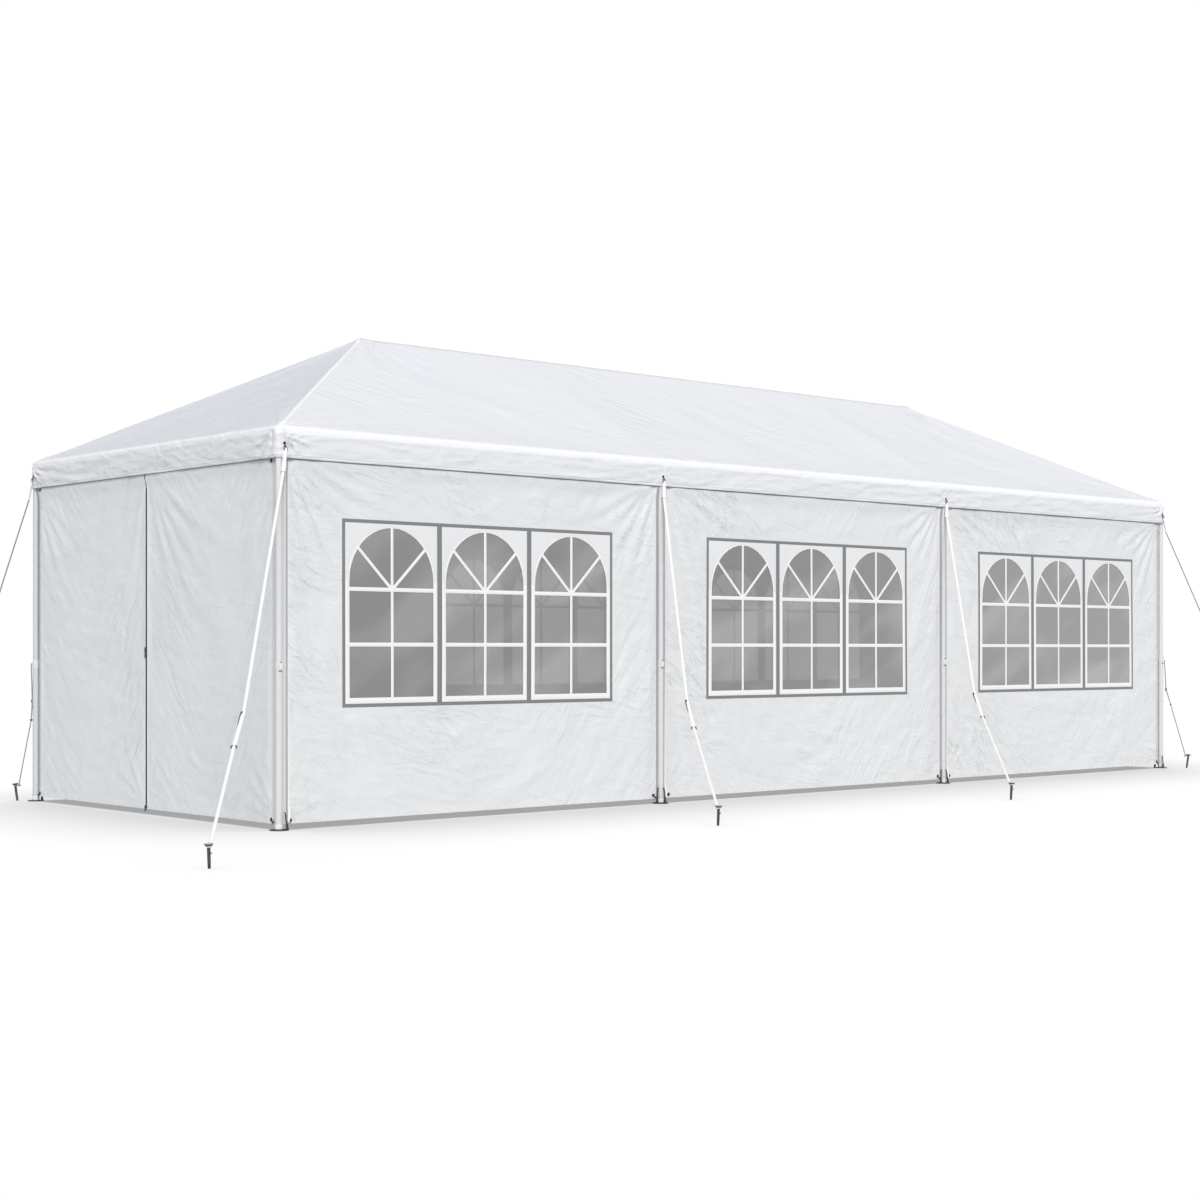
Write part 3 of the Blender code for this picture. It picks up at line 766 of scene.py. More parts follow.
def creases(points, normals, rng, slant, count, length, width, height, spread=math.pi):
    """Sharp short creases scattered over the sheet, as heights. slant is one angle or one for each point."""
    slants = np.broadcast_to(slant, len(points))
    total = np.zeros(len(points))
    for _ in range(count):
        start = rng.integers(len(points))
        normal = normals[start]
        level = unit(np.cross(UP, normal) + (1e-6, 0.0, 0.0))
        uphill = np.cross(normal, level)
        angle = slants[start] * np.sign(level[0] + level[1]) + spread * (rng.random() - 0.5)
        along = math.cos(angle) * level + math.sin(angle) * uphill
        side = np.cross(normal, along)
        half = rng.uniform(*length) / 2.0
        half_width = rng.uniform(*width)
        rise = rng.uniform(*height) * rng.choice((-1.0, 1.0, 1.0))
        bend = rng.uniform(-0.5, 0.5) / half
        apart = points - points[start]
        far = apart @ along
        near = np.flatnonzero((np.abs(far) < half) & (np.abs(apart @ normal) < 0.08))
        off = apart[near] @ side - bend * 0.12 * far[near] ** 2
        fade = (1.0 - (far[near] / half) ** 2) ** 1.5
        total[near] += rise * fade * np.exp(-np.abs(off) / half_width)
    return total


def fan(points, origin, across, down, rng, count, angles, reach, height, curl=0.0, widths=(0.010, 0.055),
        start=0.11):
    """Folds that spread from a point where the sheet is held. Angles turn from down towards across."""
    apart = points - np.asarray(origin)
    p = apart @ unit(across)
    q = apart @ unit(down)
    distance = np.hypot(p, q)
    turn = np.arctan2(p, q)
    total = np.zeros(len(points))
    for number in range(count):
        share = (number + rng.uniform(0.25, 0.75)) / count
        angle = math.radians(angles[0] + share * (angles[1] - angles[0]))
        length = reach * rng.uniform(0.55, 1.0)
        rise = height * rng.uniform(0.5, 1.0) * (1.0 if number % 2 else -0.7)
        half_width = widths[0] + widths[1] * distance
        off = distance * (turn - angle - curl * rng.uniform(0.6, 1.4) * distance)
        fade = ease(distance / start) * ease(1.25 * (1.0 - distance / length))
        total += rise * fade * np.exp(-((off / half_width) ** 2))
    return total


# Canopy


def canopy_profile():
    """Rings from ridge to hem, how many of them are on the roof, and how far the roof's edge stands out.

    A ring is (out, height, corner radius). On the roof out is a share of the way, and below it a distance
    off the legs.
    """
    eave_angle = math.atan2(RIDGE_Z - RAIL_Z, (HALF_WIDTH + RIDGE_INSET) / 2.0)
    start_z = EAVE_Z + SKIN_R * math.cos(eave_angle)
    top_z = RIDGE_Z + SKIN_R / math.cos(eave_angle)
    stops = [0.0, 1.0 - EAVE_REACH / ROOF_SLOPE, 1.0]
    shares = spaced(stops, [CANOPY_GRID / ROOF_SLOPE, EAVE_GRID / ROOF_SLOPE])[:-1]
    rings = [(share, top_z + share * (start_z - top_z), HIP_R + share * HIP_SPREAD) for share in shares]
    for share in np.linspace(0.0, 1.0, BEND_STEPS + 1):
        angle = eave_angle + (math.pi / 2.0 - eave_angle) * share
        radius = HIP_R + HIP_SPREAD + (CORNER_R - HIP_R - HIP_SPREAD) * share
        rings.append((SKIN_R * math.sin(angle), EAVE_Z + SKIN_R * math.cos(angle), radius))
    hem_top = VALANCE_Z + HEM_HEIGHT
    for z in np.linspace(EAVE_Z, hem_top, VALANCE_STEPS + 1)[1:]:
        rings.append((SKIN_R, z, CORNER_R))
    rings += [(SKIN_R + HEM_STEP * steps, hem_top - drop, CORNER_R) for steps, drop in HEM_PROFILE]
    return rings, len(shares), SKIN_R * math.sin(eave_angle)


def columns_along(half, legs):
    """Places along a side from -1 to 1, close together near its legs."""
    stops = {-half, half}
    for leg in legs:
        stops |= {max(leg - FOLD_REACH, -half), min(leg + FOLD_REACH, half)}
    stops = sorted(stops)
    steps = []
    for first, last in zip(stops, stops[1:]):
        near_leg = min(abs((first + last) / 2.0 - leg) for leg in legs) < FOLD_REACH
        steps.append(FOLD_GRID if near_leg else CANOPY_GRID)
    return spaced(stops, steps) / half


def perimeter(half_x, half_y, radius, along_long, along_short):
    """Points round a rectangle with rounded corners, anticlockwise from the near front corner."""
    radius = min(radius, 0.98 * half_y)
    inner_x, inner_y = half_x - radius, half_y - radius
    along_x, along_y = along_long * inner_x, along_short * inner_y
    turn = (np.arange(1, CORNER_STEPS) / CORNER_STEPS) * math.pi / 2.0
    rise, reach = radius * np.sin(turn), radius * np.cos(turn)
    half_way = [
        np.stack([along_x, np.full_like(along_x, -half_y)], 1),
        np.stack([inner_x + rise, -inner_y - reach], 1),
        np.stack([np.full_like(along_y, half_x), along_y], 1),
        np.stack([inner_x + reach, inner_y + rise], 1),
    ]
    return np.concatenate(half_way + [-run for run in half_way])


def column_kinds(along_long, along_short):
    """What each column of the canopy's grid runs up: a long slope (0), an end slope (2) or a hip (1, 3)."""
    sides = [len(along_long) - 1, CORNER_STEPS, len(along_short) - 1, CORNER_STEPS] * 2
    return np.concatenate([np.full(count, number % 4) for number, count in enumerate(sides)])


def segment_distance(points, start, end):
    """Distance of each point from a straight line."""
    start, end = np.asarray(start, float), np.asarray(end, float)
    line = end - start
    share = np.clip((points - start) @ line / (line @ line), 0.0, 1.0)
    return np.linalg.norm(points - start - share[:, None] * line, axis=1)


def frame_tubes():
    """Centre lines of the tubes that the canopy lies on."""
    lines = [((-PEAK_X, 0, RIDGE_Z), (PEAK_X, 0, RIDGE_Z))]
    middle_x = FEET["front_3"].x
    for x in (-1.0, 1.0):
        lines.append(((x * HALF_LENGTH, -HALF_WIDTH, RAIL_Z), (x * HALF_LENGTH, HALF_WIDTH, RAIL_Z)))
        for y in (-HALF_WIDTH, HALF_WIDTH):
            lines.append(((x * HALF_LENGTH, y, RAIL_Z), (x * PEAK_X, 0, RIDGE_Z)))
            lines.append(((x * middle_x, y, RAIL_Z), (x * middle_x, 0, RIDGE_Z)))
    for y in (-HALF_WIDTH, HALF_WIDTH):
        lines.append(((-HALF_LENGTH, y, RAIL_Z), (HALF_LENGTH, y, RAIL_Z)))
    return lines


def canopy_relief(points, normals):
    """Sag between the tubes, folds at the corners and peaks, and creases all over."""
    rng = np.random.default_rng(11)
    on_roof = ease((points[:, 2] - RAIL_Z - 0.015) / 0.05)
    slack = np.ones(len(points))
    for start, end in frame_tubes():
        slack *= 1.0 - np.exp(-np.maximum(segment_distance(points, start, end) - SKIN_R, 0.0) / 0.22)
    height = -0.022 * slack * on_roof
    height += waves(21, 14, (0.5, 1.6), 0.006)(points) * slack * on_roof
    height += crumple(points, 0.42, 0.0042, 25.0, 2.2) * (0.10 + 0.90 * slack) * on_roof
    across, along = np.abs(normals[:, 1]), np.abs(normals[:, 0])
    for x in (-1.0, 1.0):
        peak = (x * PEAK_X, 0.0, RIDGE_Z + SKIN_R)
        height += 0.006 * np.exp(-((np.linalg.norm(points - peak, axis=1) / 0.05) ** 2))
        for y in (-1.0, 1.0):
            corner = (x * HALF_LENGTH, y * HALF_WIDTH, RAIL_Z + SKIN_R)
            on_long = (across > along) * on_roof * (points[:, 1] * y > 0)
            on_end = (along > across) * on_roof * (points[:, 0] * x > 0)
            for slope, origin, sideways, down, folds in (
                (on_long, peak, (-x, 0, 0), (0, y * 0.87, -0.49), LONG_PEAK_FAN),
                (on_long, corner, (-x, 0, 0), (0, -y * 0.87, 0.49), LONG_CORNER_FAN),
                (on_end, peak, (0, y, 0), (x * 0.88, 0, -0.47), END_PEAK_FAN),
                (on_end, corner, (0, -y, 0), (-x * 0.88, 0, 0.47), END_CORNER_FAN),
            ):
                height += slope * fan(points, origin, sideways, down, rng, *folds)
    height += creases(points, normals, rng, 0.0, *ROOF_CREASES) * (0.15 + 0.85 * slack)
    return height + corner_tucks(points)


def valance_relief(points, normals):
    """Long level folds in the valance, and fans of folds at its grommets and corners."""
    rng = np.random.default_rng(12)
    z = points[:, 2]
    height = waves(22, 10, (0.3, 0.9), 0.003)(points) + crumple(points, 0.07, 0.0024, 5.0, 5.0)
    height += creases(points, normals, rng, 0.0, *VALANCE_CREASES)
    for name, (place, outward) in GROMMETS.items():
        folds = CORNER_GROMMET_FAN if is_corner(name) else MIDDLE_GROMMET_FAN
        for turned in (-1.0, 1.0):
            sideways = np.cross(UP, outward) * turned
            height += fan(points, place, sideways, UP, rng, *folds) * (normals @ outward > 0.6)
        pull = np.linalg.norm(points - place, axis=1)
        height *= 1.0 - np.exp(-((pull / 0.022) ** 2))
    for x, y in CORNERS:
        top = (x * HALF_LENGTH, y * HALF_WIDTH, EAVE_Z)
        for inward, axis in (((-x, 0, 0), 1), ((0, -y, 0), 0)):
            folds = fan(points, top, inward, DOWN, rng, *VALANCE_CORNER_FAN)
            height += folds * (np.abs(normals[:, axis]) > 0.7)
    on_valance = ease((RAIL_Z + 0.004 - z) / 0.03) * ease((z - VALANCE_Z + 0.012) / 0.03)
    return np.clip(height, -0.012, 0.016) * on_valance


def corner_tucks(points):
    """The small tucks where the canopy turns over each corner of the frame."""
    height = np.zeros(len(points))
    for x, y in CORNERS:
        corner = np.array((x * HALF_LENGTH, y * HALF_WIDTH, EAVE_Z + SKIN_R))
        for start, end, rise, half_width in CORNER_TUCKS:
            ends = [corner + (-x * along, -y * across, up) for along, across, up in (start, end)]
            height += rise * np.exp(-((segment_distance(points, *ends) / half_width) ** 2))
    return height


def canopy_grid(along_long, along_short):
    """The canopy without its folds, as rows of points from ridge to hem, and its number of roof rows."""
    rings, roof_rows, start_out = canopy_profile()
    grid = []
    for number, (out, z, radius) in enumerate(rings):
        half_x, half_y = HALF_LENGTH + out, HALF_WIDTH + out
        if number < roof_rows:
            half_x = PEAK_X + out * (HALF_LENGTH + start_out - PEAK_X)
            half_y = max(out * (HALF_WIDTH + start_out), 1e-4)
        outline = perimeter(half_x, half_y, radius, along_long, along_short)
        grid.append(np.column_stack([outline, np.full(len(outline), z)]))
    return np.array(grid), roof_rows


def canopy_normals(points):
    """Normals of the canopy's grid: straight up along the ridge, and the valance's own on the hem."""
    normals = grid_normals(points)
    normals[0] = UP
    hem_rows = len(HEM_PROFILE) + 1
    normals[-hem_rows:] = normals[-hem_rows - 1]
    return normals.reshape(-1, 3)


def make_canopy():
    """The roof and valance as one sheet, from the ridge over the eave tubes to the hem."""
    along_long = columns_along(HALF_LENGTH, [FEET[f"front_{number}"].x for number in range(1, BAYS + 2)])
    along_short = columns_along(HALF_WIDTH, (-HALF_WIDTH, HALF_WIDTH))
    grid, roof_rows = canopy_grid(along_long, along_short)
    rows, columns = grid.shape[:2]
    points, normals = grid.reshape(-1, 3), canopy_normals(grid)
    relief = canopy_relief(points, normals) + valance_relief(points, normals)
    sheet = Piece("canopy_sheet")
    sheet.add(points + normals * relief[:, None], grid_faces(rows, columns, closed=True), "canopy")
    kinds = np.broadcast_to(column_kinds(along_long, along_short), (rows - 1, columns))
    # Painted highlight: the roof's hips take the bright hem material
    hip_highlights = kinds % 2 == 1
    hip_highlights[roof_rows:] = False
    sewn = np.zeros_like(hip_highlights)
    sewn[-len(HEM_PROFILE)] = True
    for chosen, material in ((kinds == 2, "canopy_end"), (hip_highlights, "hem"), (sewn, "stitches")):
        sheet.paint(chosen.ravel(), material)
    made = sheet.make(["canopy"], sharp=60.0)
    made.modifiers.new("weld", "WELD").merge_threshold = WELD_REACH
    return made


# Walls and door flaps


def turn_in(off, turn):
    """How far a sheet turns in behind a leg, by its distance off the leg's axis."""
    start, end, depth = turn
    return -depth * ease((start - off) / (start - end))


def loose(off):
    """How free a sheet is to fold, from 0 beside a leg to 1 away from it."""
    return ease((off - LOOSE_START) / LOOSE_WIDTH)


def held_at_top(height, z):
    """Keeps a sheet's folds clear of the valance that hangs in front of its top."""
    under_valance = ease((z - VALANCE_Z + 0.16) / 0.14)
    height = height * (1.0 - 0.6 * under_valance)
    height = np.minimum(height, 0.030 - 0.027 * under_valance)
    return height + 0.013 * np.exp(-(((z - VALANCE_Z + 0.01) / 0.05) ** 2))


def flat_at_eyelets(height, off, z):
    """Brings a sheet back to its plane round its upper and lower eyelets."""
    for eyelet_z in (GROMMET_LOW, GROMMET_HIGH):
        height = height * (1.0 - np.exp(-(np.hypot(off - GROMMET_OFF, z - eyelet_z) / 0.030) ** 4))
    return height


def held_at_foot(height, z):
    """Flattens a sheet's folds a little along its hem."""
    return height * (0.55 + 0.45 * ease((z - WALL_FOOT) / 0.10))


def bay_waves(side, number):
    """The slow roll that a wall shares with its window."""
    seed = 40 + number + (10 if side == "back" else 0)
    return waves(seed, 9, (0.8, 2.4), 0.0045)


def fastened(height, z, foot_z, edges):
    """A sheet's folds, fitted at its legs, eave, hem and eyelets. An edge is (distance off the leg, turn)."""
    for off, _ in edges:
        height = height * loose(off)
    height = held_at_foot(held_at_top(height, z), z)
    for off, turn in edges:
        height = height + turn_in(off, turn)
    height = height + HEM_STEP * (z < foot_z + HEM_HEIGHT)
    return flat_at_eyelets(height, np.min([off for off, _ in edges], axis=0), z)


def cell_middles(values):
    """The value in the middle of each cell of a grid."""
    return (values[:-1, :-1] + values[1:, 1:]) / 2.0


def paint_shade_strips(sheet, keep, along, z, top_shadow, legs):
    """Paints a sheet's grey strips of painted shade: the valance's shadow along its top, and the shade of the gap
    and recess beside each leg (axis, inward, tapes).
    """
    # Painted shadow under the valance, then painted shade beside the legs
    sheet.paint(((z > top_shadow[0]) & (z < top_shadow[1]))[keep], "tape")
    for axis, inward, tapes in legs:
        off = (along - axis) * inward
        for material, (near, far) in tapes:
            sheet.paint(((off > near) & (off < far))[keep], material)


def add_wall_corner(trim, foot, inward, outward, heights, tied):
    """A sheet's eyelets beside a leg, and the tie through the lower one."""
    directions = (inward, UP, outward)
    for z in heights:
        place, = placed(foot, directions, [(GROMMET_OFF, z, 0.003)])
        trim.add(*torus(place + outward * 0.0002, outward, 0.0136, 0.0018, 18), "sleeve")
        # A white ring round a dark disc of painted shade in the hole
        trim.add(*lathe([(-0.004, 0.0126), (0.0024, 0.0122)], place, outward, 16), "black")
    if not tied:
        return
    knot, = placed(foot, directions, [TIE_KNOT])
    trim.add(*torus(knot, inward, 0.0042, 0.0022, 12), "dark")
    for strand in TIE_STRANDS:
        trim.add(*tube(placed(knot, directions, ((0.0, 0.0, 0.0), *strand)), 0.0018, 6), "dark")


def wall_folds(points, normals, rng, plane, legs, low_z, high_z):
    """Crumpled relief of a side wall, drawn towards its four corners."""
    (low_x, _), (high_x, _) = legs
    middle_x = (low_x + high_x) / 2.0
    across = (points[:, 0] - middle_x) / (high_x - middle_x)
    folds = sum(swag(points, across, *size) for size in WALL_SWAGS)
    for kind in WALL_CREASES:
        folds += creases(points, normals, rng, across * 0.9, *kind)
    for axis, inward in legs:
        corner_x = axis + inward * 0.03
        top_folds = WALL_LOW_TOP_FAN if inward > 0 else WALL_HIGH_TOP_FAN
        folds += fan(points, (corner_x, plane, high_z - 0.06), (inward, 0, 0), DOWN, rng, *top_folds)
        folds += fan(points, (corner_x, plane, low_z + 0.02), (inward, 0, 0), UP, rng, *WALL_FOOT_FAN)
    return folds


def make_side_wall(side, number):
    """One bay of side wall with its window cut out, hung from the eave tube."""
    node = f"{side}_wall_{number}"
    low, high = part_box(node)
    window_low, window_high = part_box(f"{side}_window_{number}")
    rng = np.random.default_rng(60 + number + (10 if side == "back" else 0))
    outward = np.array((0.0, SIDES[side], 0.0))
    plane = SIDES[side] * HALF_WIDTH
    legs = [(FEET[f"{side}_{number}"].x, 1.0), (FEET[f"{side}_{number + 1}"].x, -1.0)]
    turns = [CORNER_TURN if abs(axis) == HALF_LENGTH else MIDDLE_TURN for axis, _ in legs]
    (low_edge, low_eyelet), (high_edge, high_eyelet) = [
        (axis + inward * turn[1], axis + inward * GROMMET_OFF) for (axis, inward), turn in zip(legs, turns)
    ]
    x_lines = spaced([low_edge, low_eyelet, window_low.x, window_high.x, high_eyelet, high_edge],
                     [EDGE_GRID, WALL_GRID, WALL_GRID, WALL_GRID, EDGE_GRID])
    z_lines = spaced([high.z, *WALL_TOP_SHADOW[::-1], window_high.z, window_low.z, low.z], [WALL_GRID] * 5)
    x, z = np.meshgrid(x_lines if side == "front" else x_lines[::-1], z_lines)
    points = np.stack([x, np.full_like(x, plane), z], -1).reshape(-1, 3)
    normals = np.broadcast_to(outward, points.shape)
    beside = [
        np.maximum(np.maximum(window_low[axis] - points[:, axis], points[:, axis] - window_high[axis]), 0.0)
        for axis in (0, 2)
    ]
    folds = wall_folds(points, normals, rng, plane, legs, low.z, high.z) * ease(np.hypot(*beside) / 0.10)
    edges = [((points[:, 0] - axis) * inward, turn) for (axis, inward), turn in zip(legs, turns)]
    height = fastened(bay_waves(side, number)(points) + folds, points[:, 2], low.z, edges)
    middle_x, middle_z = cell_middles(x), cell_middles(z)
    keep = ~((middle_x > window_low.x) & (middle_x < window_high.x)
             & (middle_z > window_low.z) & (middle_z < window_high.z))
    wall = Piece(f"{node}_sheet")
    wall.add(points + outward * height[:, None], grid_faces(*x.shape, keep=keep), "wall")
    # Painted shade beside the legs: grey strips for the gap and recess there
    tapes = [CORNER_SHADE_STRIPS if abs(axis) == HALF_LENGTH else MIDDLE_SHADE_STRIPS for axis, _ in legs]
    paint_shade_strips(wall, keep, middle_x, middle_z, WALL_TOP_SHADOW, [(*leg, tape) for leg, tape in zip(legs, tapes)])
    trim = Piece(f"{node}_trim")
    for axis, inward in legs:
        foot = np.array((axis, plane, 0.0))
        add_wall_corner(
            trim, foot, np.array((inward, 0.0, 0.0)), outward, (GROMMET_LOW,), inward * SIDES[side] > 0
        )
    return wall.make([node], sharp=60.0), trim.make()


def flap_folds(points, normals, rng, inward, leg_y, zip_y, low_z, high_z):
    """Slack relief of a door flap, drawn towards its corners."""
    middle_y = (leg_y + zip_y) / 2.0
    across = (points[:, 1] - middle_y) / abs(leg_y - middle_y)
    folds = sum(swag(points, across, *size) for size in FLAP_SWAGS)
    folds += creases(points, normals, rng, across * 0.8, *FLAP_CREASES)
    corners = ((leg_y, 1.0, high_z - 0.05, FLAP_LEG_FAN), (zip_y, -1.0, high_z - 0.02, FLAP_ZIP_FAN))
    for corner_y, turned, corner_z, top_folds in corners:
        origin = np.array((points[0, 0], corner_y, corner_z))
        folds += fan(points, origin, inward * turned, DOWN, rng, *top_folds)
        origin[2] = low_z + 0.02
        folds += fan(points, origin, inward * turned, UP, rng, *FLAP_FOOT_FAN)
    return folds


def make_flap(end, side):
    """One half of an end wall, from a corner leg to the zip, drawn into slack folds."""
    node = f"{end}_door_flap_{side}"
    low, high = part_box(node)
    rng = np.random.default_rng(80 + (1 if end == "far" else 0) + (2 if side == "back" else 0))
    outward = np.array((ENDS[end], 0.0, 0.0))
    inward = np.array((0.0, -SIDES[side], 0.0))
    leg_y = SIDES[side] * HALF_WIDTH
    zip_y = high.y if side == "front" else low.y
    stops = [leg_y + inward[1] * CORNER_TURN[1], leg_y + inward[1] * GROMMET_OFF, zip_y]
    y_lines = spaced(stops, [EDGE_GRID, WALL_GRID])
    if (end == "near") == (side == "front"):
        y_lines = y_lines[::-1]
    y, z = np.meshgrid(y_lines, spaced([high.z, *FLAP_TOP_SHADOW[::-1], low.z], [WALL_GRID] * 3))
    points = np.stack([np.full_like(y, ENDS[end] * HALF_LENGTH), y, z], -1).reshape(-1, 3)
    normals = np.broadcast_to(outward, points.shape)
    height = waves(90 + (1 if end == "far" else 0), 8, (0.7, 1.8), 0.008)(points)
    height += flap_folds(points, normals, rng, inward, leg_y, zip_y, low.z, high.z)
    height *= ease(np.abs(points[:, 1] - zip_y) / 0.05)
    height = fastened(height, points[:, 2], low.z, [(np.abs(points[:, 1] - leg_y), CORNER_TURN)])
    keep = np.full((y.shape[0] - 1, y.shape[1] - 1), True)
    flap = Piece(f"{node}_sheet")
    flap.add(points + outward * height[:, None], grid_faces(*y.shape), "flap")
    # Painted shadow of the valance along the top, and painted shade beside the leg
    paint_shade_strips(flap, keep, cell_middles(y), cell_middles(z), FLAP_TOP_SHADOW, [(leg_y, inward[1], FLAP_SHADE_STRIPS)])
    trim = Piece(f"{node}_trim")
    foot = np.array((points[0, 0], leg_y, 0.0))
    add_wall_corner(trim, foot, inward, outward, (GROMMET_LOW, GROMMET_HIGH), True)
    return flap.make([node], sharp=60.0), trim.make()


# Windows


def patch(first, last, rows, crown=0.0):
    """A strip of quads between two matched lines of (x, z), as a grid of (x, z, rise)."""
    first, last = np.asarray(first, float), np.asarray(last, float)
    share = np.linspace(0.0, 1.0, rows + 1)[:, None, None]
    flat = first[None] * (1.0 - share) + last[None] * share
    rise = crown * np.sin(math.pi * share[..., 0]) * np.ones(len(first))
    return np.concatenate([flat, rise[..., None]], -1)


def line(start, end, step=0.05):
    """Points along a straight line in (x, z)."""
    count = max(2, int(math.dist(start, end) / step) + 2)
    return np.linspace(start, end, count)


def bar(start, end, width, crown=0.0012):
    """A flat bar between two points in (x, z)."""
    heading = unit(np.subtract(end, start))
    across = np.array((-heading[1], heading[0])) * width / 2.0
    middle = line(start, end)
    return patch(middle - across, middle + across, 4, crown)


def arch_points(centre_x, half_width, spring, top):
    """The arched head of a light, from its left to its right."""
    angles = np.linspace(math.pi, 0.0, ARCH_STEPS + 1)
    return np.stack([centre_x + half_width * np.cos(angles), spring + (top - spring) * np.sin(angles)], 1)


def fan_tip(centre_x, half, spring, top):
    """Where a bar at 45 degrees from the middle of the upper transom meets the arch, as (across, height)."""
    height = top - spring
    hub = TRANSOM_1 - spring
    a = 1.0 / half ** 2 + 1.0 / height ** 2
    b = hub / height ** 2
    c = hub ** 2 / height ** 2 - 1.0
    reach = (math.sqrt(b * b - a * c) - b) / a
    return reach, TRANSOM_1 + reach


def light_patches(left, right, bottom, top):
    """The white parts of one arched light: the panel round its arch, then its frame, transoms and bars."""
    glass_left, glass_right = left + JAMB, right - JAMB
    glass_bottom, glass_top = bottom + SILL, top - HEAD
    centre_x = (left + right) / 2.0
    half = (glass_right - glass_left) / 2.0
    spring = TRANSOM_1 + ARCH_STRAIGHT
    arch = arch_points(centre_x, half, spring, glass_top)
    above_x = centre_x + (arch[:, 0] - centre_x) * (right - left) / (2.0 * half)
    above = np.stack([above_x, np.full(len(arch), top)], 1)
    above[0], above[-1] = (left, spring), (right, spring)
    above[1], above[-2] = (left, top), (right, top)
    panels = [patch(arch, above, 6, PANEL_CROWN / 2.0)]
    patches = [patch(arch, above * 0.12 + arch * 0.88, 2, PANEL_CROWN)]
    for edges in ((left, glass_left), (glass_right, right)):
        outer, inner = [line((x, bottom), (x, spring)) for x in edges]
        patches.append(patch(outer, inner, 4, PANEL_CROWN))
    sill = line((glass_left, bottom), (glass_right, bottom))
    patches.append(patch(sill, sill + (0.0, SILL), 4, PANEL_CROWN))
    for level in (TRANSOM_1, TRANSOM_2):
        patches.append(bar((glass_left, level), (glass_right, level), BAR, PANEL_CROWN))
    patches.append(bar((centre_x, glass_bottom), (centre_x, glass_top), MULLION, PANEL_CROWN * 1.2))
    reach, tip_z = fan_tip(centre_x, half, spring, glass_top)
    for tip_x in (centre_x - reach, centre_x + reach):
        patches.append(bar((centre_x, TRANSOM_1), (tip_x, tip_z), MULLION, PANEL_CROWN * 1.1))
    return panels, patches


def add_patches(piece, patches, material, surface, offset, thickness):
    """Adds flat patches to a piece, laid on a wall's surface as thin closed strips."""
    for grid in patches:
        rows, columns = grid.shape[:2]
        front = surface(grid[..., 0], grid[..., 1], grid[..., 2] + offset + thickness)
        back = surface(grid[..., 0], grid[..., 1], np.full((rows, columns), offset))
        count = rows * columns
        ring = list(range(columns)) + [row * columns + columns - 1 for row in range(1, rows)]
        ring += list(range(count - 2, count - columns - 1, -1))
        ring += [row * columns for row in range(rows - 2, 0, -1)]
        steps = zip(ring, ring[1:] + ring[:1])
        rim = [[here, following, following + count, here + count] for here, following in steps]
        behind = [[corner + count for corner in face] for face in grid_faces(rows, columns, flipped=True)]
        piece.add(np.concatenate([front.reshape(-1, 3), back.reshape(-1, 3)]),
                  grid_faces(rows, columns) + behind + rim, material)


def make_window(side, number):
    """The clear film of a side wall's window, with its white printed lights and its sewn border."""
    node = f"{side}_window_{number}"
    low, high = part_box(node)
    roll = bay_waves(side, number)

    def surface(x, z, rise):
        flat = np.stack([x, np.full_like(x, SIDES[side] * HALF_WIDTH), z], -1)
        flat[..., 1] += SIDES[side] * (roll(flat.reshape(-1, 3)).reshape(x.shape) + rise)
        return flat

    x_lines = spaced([low.x, high.x], [WINDOW_GRID])
    x, z = np.meshgrid(x_lines if side == "front" else x_lines[::-1], spaced([high.z, low.z], [WINDOW_GRID]))
    sheet = Piece(f"{node}_film")
    sheet.add(surface(x, z, np.full_like(x, -0.001)), grid_faces(*x.shape), "film")
    inner_low, inner_high = low.z + SEAM, high.z - SEAM
    edges = [low.x + (high.x - low.x) / LIGHTS * step for step in range(LIGHTS + 1)]
    panel = Piece(f"{node}_panel")
    for left, right in zip(edges, edges[1:]):
        left_edge = left + (SEAM if left == edges[0] else SEPARATOR / 2.0)
        right_edge = right - (SEAM if right == edges[-1] else SEPARATOR / 2.0)
        panels, bars = light_patches(left_edge, right_edge, inner_low, inner_high)
        add_patches(panel, panels, "panel", surface, 0.0004, 0.001)
        add_patches(panel, bars, "bars", surface, 0.0006, 0.001)
    heights = (low.z + SEAM / 2.0, high.z - SEAM / 2.0)
    tapes = [bar((low.x, z), (high.x, z), SEAM, TAPE_CROWN) for z in heights]
    uprights = [(low.x + SEAM / 2.0, SEAM), (high.x - SEAM / 2.0, SEAM)]
    uprights += [(x, SEPARATOR) for x in edges[1:-1]]
    tapes += [bar((x, inner_low), (x, inner_high), width, TAPE_CROWN) for x, width in uprights]
    border = Piece(f"{node}_border")
    add_patches(border, tapes, "seam", surface, 0.0002, 0.0008)
    return sheet.make([node]), [panel.make(), border.make()]


# Legs


def add_peg(leg, base, lean):
    """A ground peg through the foot plate: a stout foot and a thin bent top that leans to the tube."""
    leg.add(*tube(placed(base, (lean, UP), PEG_FOOT), [0.0085, 0.0075, 0.0045], 10), "dark")
    leg.add(*tube(placed(base, (lean, UP), PEG_TOP), 0.0036, 8), "dark")


